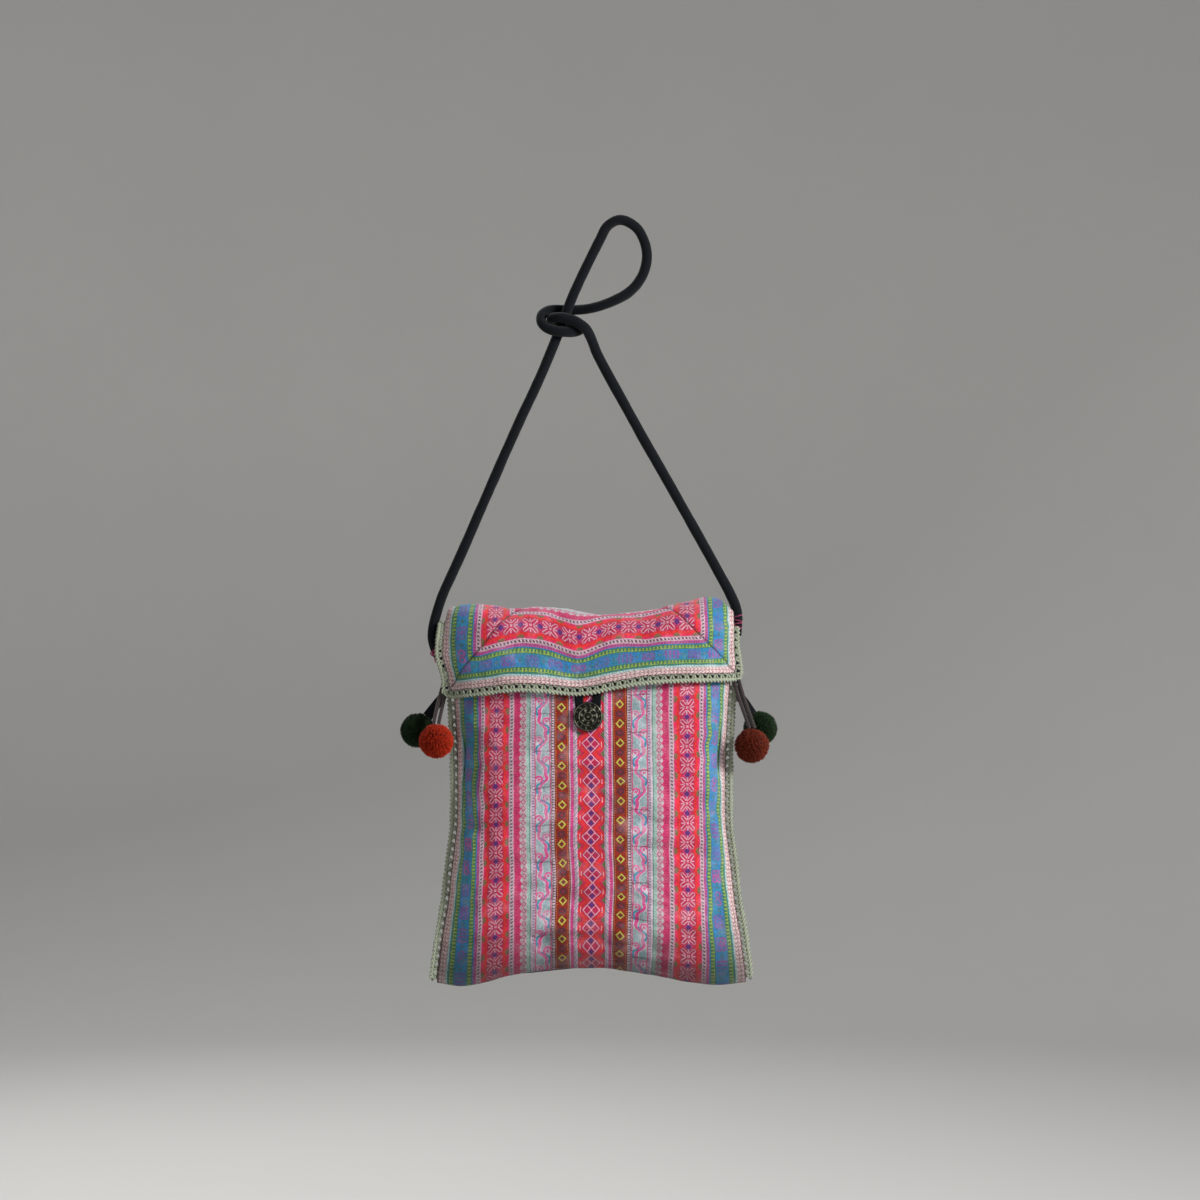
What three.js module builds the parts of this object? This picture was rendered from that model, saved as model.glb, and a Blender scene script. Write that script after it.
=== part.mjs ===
// Embroidered shoulder bag, hanging from the loop of its knotted strap.
// A strip of banded cloth is folded at the bottom into a pouch, crocheted edging joins its sides,
// and a mitred flap falls over the mouth and is held by a button and loop.
// Millimetres. +X to the right of the front, +Y away from the viewer, +Z up.
// The origin is the underside of the strap's loop, where a peg carries it.

import * as THREE from "three";
import { mergeVertices } from "three/addons/utils/BufferGeometryUtils.js";

// Pouch
const CLOTH_WIDTH = 246;
const BAG_HEIGHT = 309.6;
const BELLY = 56;
const WALL = 1.8;
const SEAM_SLIT = 0.8;
const PEG_TO_BAG = 298.4;
const BAG_OFFSET = -22.8;
const FRONT_RIM_DROP = 15;
const BACK_RIM_DROP = 11;
const CORNER_RIM_DROP = 24;

// Flap
const FLAP_DROP = 73.6;
const FLAP_BACK = 52;
const FOLD_RISE = 26;
const FRONT_EASE = 4.4;
const BACK_EASE = 1.4;

// Crocheted edging
const EDGING_WIDTH = 6;
const EDGING_THICK = 2.2;
const EDGING_INNER_RAIL = 1;
const EDGING_OUTER_RAIL = 2.8;
const EDGING_GAP = 0.7;
const SIDE_HOLES = 29;
const FLAP_SIDE_HOLES = 9;
const FLAP_HEM_HOLES = 41;
const SIDE_EDGING_TOP = 68;
const FLAP_EDGING_TOP = 20;

// Button and its loop
const BUTTON_DIAMETER = 23.6;
const BUTTON_THICK = 2.4;
const BUTTON_BELOW_EDGING = 5.4;
const BUTTON_SIDE = -2.8;
const SHANK_DIAMETER = 3.8;
const LOOP_WIDTH = 7.4;
const LOOP_THICK = 2.4;
const LOOP_EYE = 12.6;
const LOOP_SPLAY = 1.6;
const LOOP_TUCK = 7;

// Strap, tails, ties and pompoms
const CORD_DIAMETER = 8.2;
const TAIL_TOP_WIDTH = 4.8;
const TAIL_END_WIDTH = 8.6;
const TAIL_THICK = 2.4;
const TIE_DIAMETER = 3.2;
const POMPOM_DIAMETER = 28;

// Space kept between pieces that touch on the real bag
const GAP = 0.3;

// How finely the cloth is faceted
const COLUMNS = 20;
const POUCH_ROWS = 14;
const CORD_SIDES = 8;
const CORD_STEPS = 80;

const HALF_CLOTH = CLOTH_WIDTH / 2;
const SEAM_HALF = WALL + SEAM_SLIT / 2;
const LEFT = -1;
const RIGHT = 1;
const FRONT = -1;
const BACK = 1;

// Outline of the filled pouch by height: the seam's place as a share of the half cloth,
// and the half depth at the middle as a share of half the belly.
const outline = [
  { height: 0.0, halfWidth: 1.0, depth: 0.0 },
  { height: 0.025, halfWidth: 0.998, depth: 0.3 },
  { height: 0.07, halfWidth: 0.983, depth: 0.53 },
  { height: 0.13, halfWidth: 0.963, depth: 0.72 },
  { height: 0.214, halfWidth: 0.928, depth: 0.88 },
  { height: 0.322, halfWidth: 0.899, depth: 0.98 },
  { height: 0.42, halfWidth: 0.87, depth: 1.0 },
  { height: 0.55, halfWidth: 0.866, depth: 0.97 },
  { height: 0.65, halfWidth: 0.872, depth: 0.91 },
  { height: 0.75, halfWidth: 0.885, depth: 0.83 },
  { height: 0.85, halfWidth: 0.905, depth: 0.72 },
  { height: 0.915, halfWidth: 0.92, depth: 0.62 },
  { height: 0.96, halfWidth: 0.92, depth: 0.47 },
  { height: 1.0, halfWidth: 0.908, depth: 0.3 },
];

// Lines across the bag, as shares of its height: how far the flap's fold dips below the top,
// and how far the pouch's bottom fold rises above the lowest corners.
const lines = [
  { across: -1.0, foldDip: 0.029, bottomRise: 0.01 },
  { across: -0.82, foldDip: 0.017, bottomRise: 0.002 },
  { across: -0.5, foldDip: 0.029, bottomRise: 0.031 },
  { across: -0.24, foldDip: 0.031, bottomRise: 0.044 },
  { across: 0.05, foldDip: 0.043, bottomRise: 0.049 },
  { across: 0.34, foldDip: 0.034, bottomRise: 0.034 },
  { across: 0.62, foldDip: 0.013, bottomRise: 0.013 },
  { across: 0.82, foldDip: 0.0, bottomRise: 0.005 },
  { across: 1.0, foldDip: 0.036, bottomRise: 0.012 },
];

// Dents and swells of the pouch's cloth: place and half size as shares of the half cloth and the
// height, and how far they stand out as a share of the belly.
const pouchFolds = [
  { side: FRONT, across: -0.86, height: 0.57, wide: 0.07, tall: 0.09, out: -0.13 },
  { side: FRONT, across: -0.84, height: 0.33, wide: 0.1, tall: 0.08, out: 0.07 },
  { side: FRONT, across: -0.62, height: 0.46, wide: 0.09, tall: 0.16, out: 0.035 },
  { side: FRONT, across: 0.88, height: 0.62, wide: 0.06, tall: 0.07, out: -0.12 },
  { side: FRONT, across: 0.82, height: 0.47, wide: 0.09, tall: 0.08, out: 0.05 },
  { side: FRONT, across: 0.86, height: 0.2, wide: 0.06, tall: 0.09, out: -0.06 },
  { side: FRONT, across: -0.3, height: 0.05, wide: 0.07, tall: 0.06, out: -0.06 },
  { side: FRONT, across: 0.12, height: 0.04, wide: 0.07, tall: 0.05, out: -0.05 },
  { side: FRONT, across: 0.42, height: 0.05, wide: 0.06, tall: 0.06, out: -0.05 },
  { side: BACK, across: -0.84, height: 0.45, wide: 0.08, tall: 0.1, out: -0.1 },
  { side: BACK, across: 0.85, height: 0.52, wide: 0.08, tall: 0.1, out: -0.11 },
  { side: BACK, across: 0.1, height: 0.05, wide: 0.09, tall: 0.06, out: -0.06 },
];

// The flap's cloth: its side edges as a share of the pouch's seam, by how far down the drop.
const flapSides = [
  { down: 0.0, left: 0.99, right: 0.975 },
  { down: 0.3, left: 1.055, right: 1.005 },
  { down: 0.75, left: 1.03, right: 1.027 },
  { down: 1.0, left: 1.034, right: 1.034 },
];

// The flap's hem: its rise above the lowest corner, as a share of the drop.
const flapHem = [
  { across: -1.0, rise: 0.012 },
  { across: -0.95, rise: 0.0 },
  { across: -0.72, rise: 0.037 },
  { across: -0.5, rise: 0.077 },
  { across: -0.31, rise: 0.07 },
  { across: -0.08, rise: 0.037 },
  { across: 0.13, rise: 0.097 },
  { across: 0.34, rise: 0.156 },
  { across: 0.56, rise: 0.178 },
  { across: 1.0, rise: 0.185 },
];

// Soft waves of the flap's drop, standing out by a share of the belly.
const flapWaves = [
  { across: -0.45, down: 0.9, wide: 0.17, tall: 0.6, out: 0.045 },
  { across: -0.08, down: 0.9, wide: 0.1, tall: 0.5, out: -0.02 },
  { across: 0.4, down: 0.8, wide: 0.2, tall: 0.6, out: 0.045 },
  { across: 0.82, down: 0.6, wide: 0.12, tall: 0.5, out: 0.03 },
];

// How much of the cloth's backward slope the flap's edging keeps at the sides, and how deep the
// partings between a pompom's locks are, as shares.
const softness = { edgingSlope: 0.15, parting: 0.045 };

// Pompoms: how far out from the edging and how far back, in pompom radii, and how far below the
// bag's top as a share of its height.
const pompoms = [
  { name: "pompom_left_orange", side: LEFT, out: 0.69, back: -0.98, down: 0.368, colour: 0xb0300c },
  { name: "pompom_left_green", side: LEFT, out: 1.83, back: 0.72, down: 0.3437, colour: 0x1e4010 },
  { name: "pompom_right_orange", side: RIGHT, out: 1.0, back: -0.68, down: 0.38, colour: 0x8c2c14 },
  { name: "pompom_right_green", side: RIGHT, out: 1.54, back: 1.16, down: 0.3385, colour: 0x10301a },
];

// Places of the side pieces, measured from the pouch's seam and below the bag's top. The strap's
// ends lie on the seam above the edging, the tails and ties start there and hang outside it.
const TAIL_TOP_LEFT = 59.6;
const TAIL_TOP_RIGHT = 32.2;
const TAIL_START_OUT = 2.8;
const TAIL_BEND_TOP = 76;
const TAIL_BEND_OUT = 7.8;
const TIE_TOP = 66;
const TIE_BEND = 13;
const TIE_BEND_OUT = 3.6;
const TIE_START_OUT = 5.2;
const TIE_SPREAD = 4;

// The strap's centreline: up from the left corner, straight through the knot, round the loop,
// twice round itself, and down to the right corner. Only a peg and the knot hold it.
const strapRoute = [
  [-138.2, 1, -357],
  [-142, 1, -350],
  [-147.2, 1, -341],
  [-150, 1, -331],
  [-149.6, 0.8, -322],
  [-146.6, 0.5, -310],
  [-142, 0.2, -296],
  [-132.8, 0, -276],
  [-98.2, 0, -197],
  [-80, 0, -156],
  [-62, 0, -117.4],
  [-39, 0, -59.9],
  [-36.7, 0, -54.4],
  [-31.8, 0, -43.4],
  [-26.6, 0, -32.6],
  [-21.3, 0, -21.9],
  [-15.9, 0, -11.1],
  [-10, 0, -0.8],
  [0.2, 0, 4.1],
  [12.4, 0, -1.5],
  [18.9, 0, -11.5],
  [21.6, 0, -23.1],
  [20.1, 0, -34.9],
  [14.9, 0, -45.6],
  [6.6, 0.1, -54.2],
  [-3.8, 0.7, -59.9],
  [-14.9, 2.6, -64.1],
  [-20.5, 4.1, -65.5],
  [-28, 6.4, -66.7],
  [-35.7, 8.3, -67.1],
  [-43.6, 9, -67],
  [-51.4, 7.9, -67.1],
  [-57.4, 6, -68],
  [-62.4, 1.4, -71.9],
  [-62.7, -3.2, -77.7],
  [-58.7, -7, -82.7],
  [-51.7, -9.1, -85.5],
  [-43.8, -8.7, -86.3],
  [-36.7, -5.4, -85.8],
  [-32.1, -0.5, -83.5],
  [-33.2, 4.6, -80.1],
  [-39.6, 8, -78.2],
  [-47.8, 8.8, -77],
  [-54, 4.4, -75.8],
  [-53.6, -4.6, -74.8],
  [-47, -9.5, -74.8],
  [-39.1, -10.5, -76.6],
  [-33.6, -11.2, -79.2],
  [-27.4, -9.6, -84],
  [-23.8, -5.2, -89.8],
  [-20.9, -2.2, -96.6],
  [-18.8, -0.9, -102.1],
  [10.2, 0, -155.6],
  [33, 0, -196],
  [66.8, 0, -256],
  [77.8, 0.2, -276],
  [87.6, 0.5, -294],
  [92.8, 0.9, -306],
  [94, 1, -314],
  [93.6, 1, -322],
  [93, 1, -330],
];

// Where the tube's steps fall along the strap: close together in the knot and wide on the legs.
const strapSteps = [
  { step: 0.0, length: 0.0 },
  { step: 0.09, length: 0.072 },
  { step: 0.17, length: 0.3 },
  { step: 0.2, length: 0.36 },
  { step: 0.38, length: 0.5 },
  { step: 0.82, length: 0.715 },
  { step: 0.9, length: 0.94 },
  { step: 1.0, length: 1.0 },
];

const colours = {
  cloth: 0xd2406a,
  flap: 0x4a86a8,
  edging: 0x9fb59a,
  navy: 0x141a24,
  tie: 0x4a3f3c,
  metal: 0x3a3a30,
};

// Smooth value of one column of a table at a place along another column.
function read(rows, key, value, at) {
  const last = rows.length - 1;
  let i = rows.findIndex((row) => row[key] >= at);
  if (i < 1) i = i === 0 ? 1 : last;
  const before = rows[i - 1];
  const after = rows[i];
  const span = after[key] - before[key];
  const t = Math.min(1, Math.max(0, (at - before[key]) / span));
  const slopeAt = (k) => {
    const low = rows[Math.max(0, k - 1)];
    const high = rows[Math.min(last, k + 1)];
    return (high[value] - low[value]) / (high[key] - low[key]);
  };
  const t2 = t * t;
  const t3 = t2 * t;
  return (
    (2 * t3 - 3 * t2 + 1) * before[value] +
    (t3 - 2 * t2 + t) * span * slopeAt(i - 1) +
    (3 * t2 - 2 * t3) * after[value] +
    (t3 - t2) * span * slopeAt(i)
  );
}

const bell = (offset, half) => Math.exp(-((offset / half) ** 2));
const seamAt = (height) => HALF_CLOTH * read(outline, "height", "halfWidth", height);
const depthAt = (height) => (BELLY / 2) * Math.max(0, read(outline, "height", "depth", height));
const foldLine = (across) => -PEG_TO_BAG - BAG_HEIGHT * read(lines, "across", "foldDip", across);
const bottomLine = (across) =>
  -PEG_TO_BAG - BAG_HEIGHT + BAG_HEIGHT * read(lines, "across", "bottomRise", across);
const levelAt = (across, height) =>
  bottomLine(across) + (foldLine(across) - bottomLine(across)) * height;
const heightAt = (across, level) =>
  (level - bottomLine(across)) / (foldLine(across) - bottomLine(across));

// Cloth keeps its width in the middle, and the shortfall to the seam is taken up near the sides.
const acrossToX = (across, seam) => across * HALF_CLOTH - (HALF_CLOTH - seam) * across ** 5;
const fullness = (across) => 1 - across ** 4;

// Point of the pouch's outer face.
function pouchPoint(side, across, height) {
  let out = SEAM_HALF + depthAt(height) * fullness(across);
  for (const fold of pouchFolds) {
    if (fold.side !== side) continue;
    const share = bell(across - fold.across, fold.wide) * bell(height - fold.height, fold.tall);
    out += BELLY * fold.out * share * Math.min(1, fullness(across) * 2);
  }
  out = Math.max(out, SEAM_HALF);
  const x = BAG_OFFSET + acrossToX(across, seamAt(height));
  return new THREE.Vector3(x, side * out, levelAt(across, height));
}

// Unit normal of a surface given as a function of two parameters.
function normalOf(surface, a, b) {
  const step = 0.004;
  const alongA = surface(a + step, b).sub(surface(a - step, b));
  const alongB = surface(a, b + step).sub(surface(a, b - step));
  return alongA.cross(alongB).normalize();
}

function meshOf(positions, triangles) {
  const geometry = new THREE.BufferGeometry();
  geometry.setAttribute("position", new THREE.Float32BufferAttribute(positions, 3));
  geometry.setIndex(triangles);
  return facingOut(geometry);
}

// Turns a closed geometry so that its faces point out.
function facingOut(geometry) {
  const p = geometry.getAttribute("position");
  const index = geometry.getIndex().array;
  const [a, b, c] = [new THREE.Vector3(), new THREE.Vector3(), new THREE.Vector3()];
  let volume = 0;
  for (let i = 0; i < index.length; i += 3) {
    a.fromBufferAttribute(p, index[i]);
    b.fromBufferAttribute(p, index[i + 1]);
    c.fromBufferAttribute(p, index[i + 2]);
    volume += a.dot(b.cross(c));
  }
  if (volume < 0) {
    for (let i = 0; i < index.length; i += 3) {
      [index[i + 1], index[i + 2]] = [index[i + 2], index[i + 1]];
    }
  }
  geometry.computeVertexNormals();
  return geometry;
}

// Shared vertices of one of three.js's own geometries.
function joined(geometry) {
  const bare = geometry.clone();
  bare.deleteAttribute("normal");
  bare.deleteAttribute("uv");
  return facingOut(mergeVertices(bare, 1e-4));
}

// Closed slab between two grids of points, cut through at the open cells.
function slab(face, back, isOpen = () => false) {
  const rows = face.length;
  const columns = face[0].length;
  const positions = [face, back].flatMap((grid) => grid.flatMap((row) => row.flatMap((p) => p.toArray())));
  const faceAt = (i, j) => i * columns + j;
  const backAt = (i, j) => rows * columns + i * columns + j;
  const present = (i, j) =>
    i >= 0 && j >= 0 && i < rows - 1 && j < columns - 1 && !isOpen(i, j);
  const triangles = [];
  const quad = (a, b, c, d) => triangles.push(a, b, c, a, c, d);
  for (let i = 0; i < rows - 1; i++) {
    for (let j = 0; j < columns - 1; j++) {
      if (!present(i, j)) continue;
      quad(faceAt(i, j), faceAt(i + 1, j), faceAt(i + 1, j + 1), faceAt(i, j + 1));
      quad(backAt(i, j), backAt(i, j + 1), backAt(i + 1, j + 1), backAt(i + 1, j));
      if (!present(i - 1, j)) quad(faceAt(i, j), faceAt(i, j + 1), backAt(i, j + 1), backAt(i, j));
      if (!present(i + 1, j)) {
        quad(faceAt(i + 1, j + 1), faceAt(i + 1, j), backAt(i + 1, j), backAt(i + 1, j + 1));
      }
      if (!present(i, j - 1)) quad(faceAt(i + 1, j), faceAt(i, j), backAt(i, j), backAt(i + 1, j));
      if (!present(i, j + 1)) {
        quad(faceAt(i, j + 1), faceAt(i + 1, j + 1), backAt(i + 1, j + 1), backAt(i, j + 1));
      }
    }
  }
  return meshOf(positions, triangles);
}

// Closed cup between outer and inner rings, each ring a front run and a back run of points.
function cup(outer, inner) {
  const size = outer[0].length;
  const half = size / 2;
  const levels = outer.length;
  const positions = [...outer, ...inner].flatMap((ring) => ring.flatMap((p) => p.toArray()));
  const outAt = (k, m) => k * size + (m % size);
  const inAt = (k, m) => (levels + k) * size + (m % size);
  const triangles = [];
  const quad = (a, b, c, d) => triangles.push(a, b, c, a, c, d);
  for (let m = 0; m < size; m++) {
    for (let k = 0; k < levels - 1; k++) {
      quad(outAt(k, m), outAt(k, m + 1), outAt(k + 1, m + 1), outAt(k + 1, m));
      quad(inAt(k, m), inAt(k + 1, m), inAt(k + 1, m + 1), inAt(k, m + 1));
    }
    quad(outAt(levels - 1, m), outAt(levels - 1, m + 1), inAt(levels - 1, m + 1), inAt(levels - 1, m));
  }
  for (let m = 0; m < half - 1; m++) {
    const across = size - 1 - m;
    quad(outAt(0, m), outAt(0, across), outAt(0, across - 1), outAt(0, m + 1));
    quad(inAt(0, m), inAt(0, m + 1), inAt(0, across - 1), inAt(0, across));
  }
  return meshOf(positions, triangles);
}

// Ribbon along stations, each a centre, a direction across and a normal.
function ribbon(stations, startWidth, endWidth, thickness) {
  const last = stations.length - 1;
  const grid = (side) =>
    stations.map(({ centre, across, normal }, k) =>
      [-0.5, 0.5].map((edge) =>
        centre
          .clone()
          .addScaledVector(across, edge * (startWidth + ((endWidth - startWidth) * k) / last))
          .addScaledVector(normal, side * thickness * 0.5),
      ),
    );
  return slab(grid(1), grid(-1));
}

// Round tube along a curve, built as a circle extruded along a path.
function tube(curve, diameter, steps, sides) {
  const circle = new THREE.Shape();
  for (let k = 0; k < sides; k++) {
    const angle = (2 * Math.PI * k) / sides;
    const point = [(Math.cos(angle) * diameter) / 2, (Math.sin(angle) * diameter) / 2];
    if (k === 0) circle.moveTo(...point);
    else circle.lineTo(...point);
  }
  circle.closePath();
  return joined(new THREE.ExtrudeGeometry(circle, { steps, extrudePath: curve, bevelEnabled: false }));
}

const evenly = (count) => Array.from({ length: count + 1 }, (_, k) => k / count);
const acrossSteps = evenly(COLUMNS).map((k) => 2 * k - 1);

// Height share of the pouch's rim, which falls a little towards the seams.
function rimHeight(side, across) {
  const drop = side === FRONT ? FRONT_RIM_DROP : BACK_RIM_DROP;
  const fall = drop + (CORNER_RIM_DROP - drop) * across ** 4;
  return 1 - fall / BAG_HEIGHT;
}

function pouchGeometry() {
  const inset = 1 - (2.2 * WALL) / HALF_CLOTH;
  const floor = (1.6 * WALL) / BAG_HEIGHT;
  const ring = (row, isInner) =>
    [FRONT, BACK].flatMap((side) => {
      const run = acrossSteps.map((across) => {
        const reach = isInner ? across * inset : across;
        const low = isInner ? floor : 0;
        const height = low + (rimHeight(side, across) - low) * row ** 1.5;
        const point = pouchPoint(side, reach, height);
        if (!isInner) return point;
        const surface = (a, b) => pouchPoint(side, a, b);
        const normal = normalOf(surface, reach, Math.max(height, floor + 0.01));
        if (normal.y * side < 0) normal.negate();
        point.addScaledVector(normal, -WALL);
        point.y = side * Math.max(side * point.y, SEAM_SLIT / 2);
        return point;
      });
      return side === FRONT ? run : run.reverse();
    });
  const rows = evenly(POUCH_ROWS);
  return cup(
    rows.map((row) => ring(row, false)),
    rows.map((row) => ring(row, true)),
  );
}

// Middle of the flap's cloth. The course runs 0 to 1 up the back, to 2 over the fold, to 3 down the drop.
function flapPoint(across, course) {
  const top = foldLine(across);
  const spring = top - FOLD_RISE;
  const springHeight = heightAt(across, spring);
  const hem = -PEG_TO_BAG - hemDrop(across);
  const down = Math.min(1, Math.max(0, course - 2));
  const sideShare = read(flapSides, "down", across < 0 ? "left" : "right", down);
  const blend = Math.min(1, Math.abs(across) * 3);
  const standing = (height, ease) =>
    SEAM_HALF + depthAt(height) * fullness(across) + ease + WALL / 2;
  const turned = Math.min(1, Math.max(0, 2 * course - 2));
  const place = (height, y, z) => {
    const seam = seamAt(height) * (1 + (sideShare - 1) * blend * turned);
    return new THREE.Vector3(BAG_OFFSET + acrossToX(across, seam), y, z);
  };
  if (course <= 1) {
    const level = top - FLAP_BACK + (FLAP_BACK - FOLD_RISE) * course;
    const height = heightAt(across, level);
    return place(height, standing(height, BACK_EASE), level);
  }
  if (course < 2) {
    const angle = Math.PI * (2 - course);
    const ease = angle > Math.PI / 2 ? BACK_EASE : FRONT_EASE;
    const y = -Math.cos(angle) * standing(springHeight, ease);
    return place(springHeight, y, spring + FOLD_RISE * Math.sin(angle));
  }
  const level = spring + (hem - spring) * (course - 2);
  const height = heightAt(across, level);
  let y = -standing(height, FRONT_EASE);
  for (const wave of flapWaves) {
    y -= BELLY * wave.out * bell(across - wave.across, wave.wide) * bell(down - wave.down, wave.tall) * down;
  }
  return place(height, y, level);
}

const flapCourses = [0, 0.5, 1, 1.12, 1.24, 1.36, 1.48, 1.6, 1.72, 1.86, 2, 2.16, 2.33, 2.5, 2.67, 2.84, 3];

// Direction out of the flap's side edge, flattened because the edging stands off the pouch.
function sideways(across, course) {
  const outward = flapPoint(across, course).sub(flapPoint(across * 0.996, course));
  outward.y *= softness.edgingSlope;
  return outward.normalize();
}

function flapNormal(across, course) {
  const inside = Math.min(2.99, Math.max(0.01, course));
  const normal = normalOf(flapPoint, across, inside);
  const facing = course < 1.5 ? BACK : FRONT;
  const upright = Math.abs(normal.y) < 0.3;
  if (upright ? normal.z < 0 : normal.y * facing < 0) normal.negate();
  if (Math.abs(across) < 1) return normal;
  const outward = sideways(across, inside);
  return normal.addScaledVector(outward, -normal.dot(outward)).normalize();
}

function flapGeometry() {
  const grid = (side) =>
    flapCourses.map((course) =>
      acrossSteps.map((across) =>
        flapPoint(across, course).addScaledVector(flapNormal(across, course), (side * WALL) / 2),
      ),
    );
  return slab(grid(1), grid(-1));
}

// Point on the straight facet edges between the places where a line is sampled.
function between(stops, at, pointAt) {
  const i = Math.min(stops.length - 1, Math.max(1, stops.findIndex((stop) => stop >= at - 1e-9)));
  const share = (at - stops[i - 1]) / (stops[i] - stops[i - 1]);
  return pointAt(stops[i - 1]).lerp(pointAt(stops[i]), share);
}

const flapFacet = (across, course) =>
  course >= 3
    ? between(acrossSteps, across, (place) => flapPoint(place, 3))
    : between(flapCourses, course, (place) => flapPoint(across, place));

// Crocheted ladder along stations of base point, outward direction and normal. Every second cell
// between its two rails is open.
function edging(stations) {
  const reach = [0, EDGING_INNER_RAIL, EDGING_WIDTH - EDGING_OUTER_RAIL, EDGING_WIDTH];
  const grid = (side) =>
    stations.map(({ base, outward, normal }) =>
      reach.map((distance) =>
        base
          .clone()
          .addScaledVector(outward, EDGING_GAP + distance)
          .addScaledVector(normal, (side * EDGING_THICK) / 2),
      ),
    );
  return slab(grid(1), grid(-1), (i, j) => j === 1 && i % 2 === 1);
}

function sideEdging(side) {
  const low = 0.004;
  const high = heightAt(side, -PEG_TO_BAG - SIDE_EDGING_TOP);
  const rings = evenly(POUCH_ROWS).map((row) => rimHeight(FRONT, side) * row ** 1.5);
  const seam = (height) =>
    between(
      rings,
      height,
      (place) => new THREE.Vector3(BAG_OFFSET + side * seamAt(place), 0, levelAt(side, place)),
    );
  const stations = evenly(2 * SIDE_HOLES + 1).map((k) => {
    const height = low + (high - low) * k;
    const along = seam(height + 0.02).sub(seam(Math.max(0, height - 0.02))).normalize();
    const outward = new THREE.Vector3(side * along.z, 0, -side * along.x);
    return { base: seam(height), outward, normal: new THREE.Vector3(0, FRONT, 0) };
  });
  return edging(stations);
}

// Stations round the flap's three free sides, with a mitre at each lower corner.
function flapEdging() {
  const from = 2 - Math.asin((FOLD_RISE - FLAP_EDGING_TOP) / FOLD_RISE) / Math.PI;
  const sideCourses = evenly(2 * FLAP_SIDE_HOLES).map((k) => from + (3 - from) * k);
  const hemAcross = evenly(2 * FLAP_HEM_HOLES + 1).map((k) => 2 * k - 1);
  const step = 0.004;
  const downward = (across) =>
    flapPoint(across, 3)
      .sub(flapPoint(across, 3 - step))
      .normalize();
  const station = (across, course, outward) => {
    outward.normalize();
    const normal = flapNormal(across, course);
    normal.addScaledVector(outward, -normal.dot(outward)).normalize();
    return { base: flapFacet(across, course), outward, normal };
  };
  const corner = (side) => station(side, 3, sideways(side, 3).add(downward(side)));
  return edging([
    ...sideCourses.slice(0, -1).map((course) => station(LEFT, course, sideways(LEFT, course))),
    corner(LEFT),
    ...hemAcross.slice(1, -1).map((across) => station(across, 3, downward(across))),
    corner(RIGHT),
    ...sideCourses
      .slice(0, -1)
      .reverse()
      .map((course) => station(RIGHT, course, sideways(RIGHT, course))),
  ]);
}

// Place on the pouch's front at a distance from the bag's middle and below its top, with its normal.
function onFront(x, drop) {
  const across = x / HALF_CLOTH;
  const height = heightAt(across, -PEG_TO_BAG - drop);
  const surface = (a, b) => pouchPoint(FRONT, a, b);
  const normal = normalOf(surface, across, height);
  if (normal.y > 0) normal.negate();
  return { point: pouchPoint(FRONT, across, height), normal };
}

// Button turned about its own axis: face with a raised rim and boss, and a shank behind.
function buttonGeometry() {
  const radius = BUTTON_DIAMETER / 2;
  const shank = SHANK_DIAMETER / 2;
  const lift = LOOP_THICK + 3 * GAP;
  const front = lift + BUTTON_THICK;
  const profile = [
    [0, GAP],
    [shank, GAP],
    [shank, lift],
    [radius * 0.9, lift],
    [radius, lift + BUTTON_THICK * 0.4],
    [radius * 0.96, front],
    [radius * 0.84, front],
    [radius * 0.78, front - BUTTON_THICK * 0.3],
    [radius * 0.42, front - BUTTON_THICK * 0.25],
    [radius * 0.3, front + BUTTON_THICK * 0.1],
    [0, front + BUTTON_THICK * 0.2],
  ];
  return joined(new THREE.LatheGeometry(profile.map(([r, h]) => new THREE.Vector2(r, h)), 20));
}

// Cloth loop: down from under the flap, round the button's shank and up again.
function loopGeometry() {
  const turn = LOOP_EYE / 2;
  const length = buttonDrop - hemDrop(buttonAcross) + LOOP_TUCK;
  const path = [];
  for (const share of evenly(4)) path.push([-turn - LOOP_SPLAY * (1 - share), length * (1 - share)]);
  for (const share of evenly(8).slice(1)) {
    const angle = Math.PI * (1 + share);
    path.push([turn * Math.cos(angle), turn * Math.sin(angle)]);
  }
  for (const share of evenly(4).slice(1)) path.push([turn + LOOP_SPLAY * share, length * share]);
  const places = path.map(([x, rise]) => onFront(BUTTON_SIDE + x, buttonDrop - rise));
  const centres = places.map(({ point, normal }) =>
    point.clone().addScaledVector(normal, GAP * 1.5 + LOOP_THICK / 2),
  );
  const stations = centres.map((centre, k) => {
    const along = centres[Math.min(k + 1, centres.length - 1)]
      .clone()
      .sub(centres[Math.max(k - 1, 0)])
      .normalize();
    const across = along.clone().cross(places[k].normal).normalize();
    return { centre, across, normal: places[k].normal };
  });
  return ribbon(stations, LOOP_WIDTH, LOOP_WIDTH, LOOP_THICK);
}

// Ball of yarn whose locks stand out one by one between shallow partings.
function pompomGeometry() {
  const around = 14;
  const rings = 9;
  const ball = new THREE.SphereGeometry(POMPOM_DIAMETER / 2, around, rings);
  const shape = joined(ball);
  const p = shape.getAttribute("position");
  const v = new THREE.Vector3();
  for (let i = 0; i < p.count; i++) {
    v.fromBufferAttribute(p, i);
    const polar = Math.round((Math.acos(v.y / v.length()) / Math.PI) * rings);
    const turn = Math.round(((Math.atan2(v.z, v.x) / Math.PI + 1) / 2) * around);
    const isParting = (polar + turn) % 2 === 1 && polar > 0 && polar < rings;
    if (isParting) v.multiplyScalar(1 - softness.parting);
    p.setXYZ(i, v.x, v.y, v.z);
  }
  return facingOut(shape);
}

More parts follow.
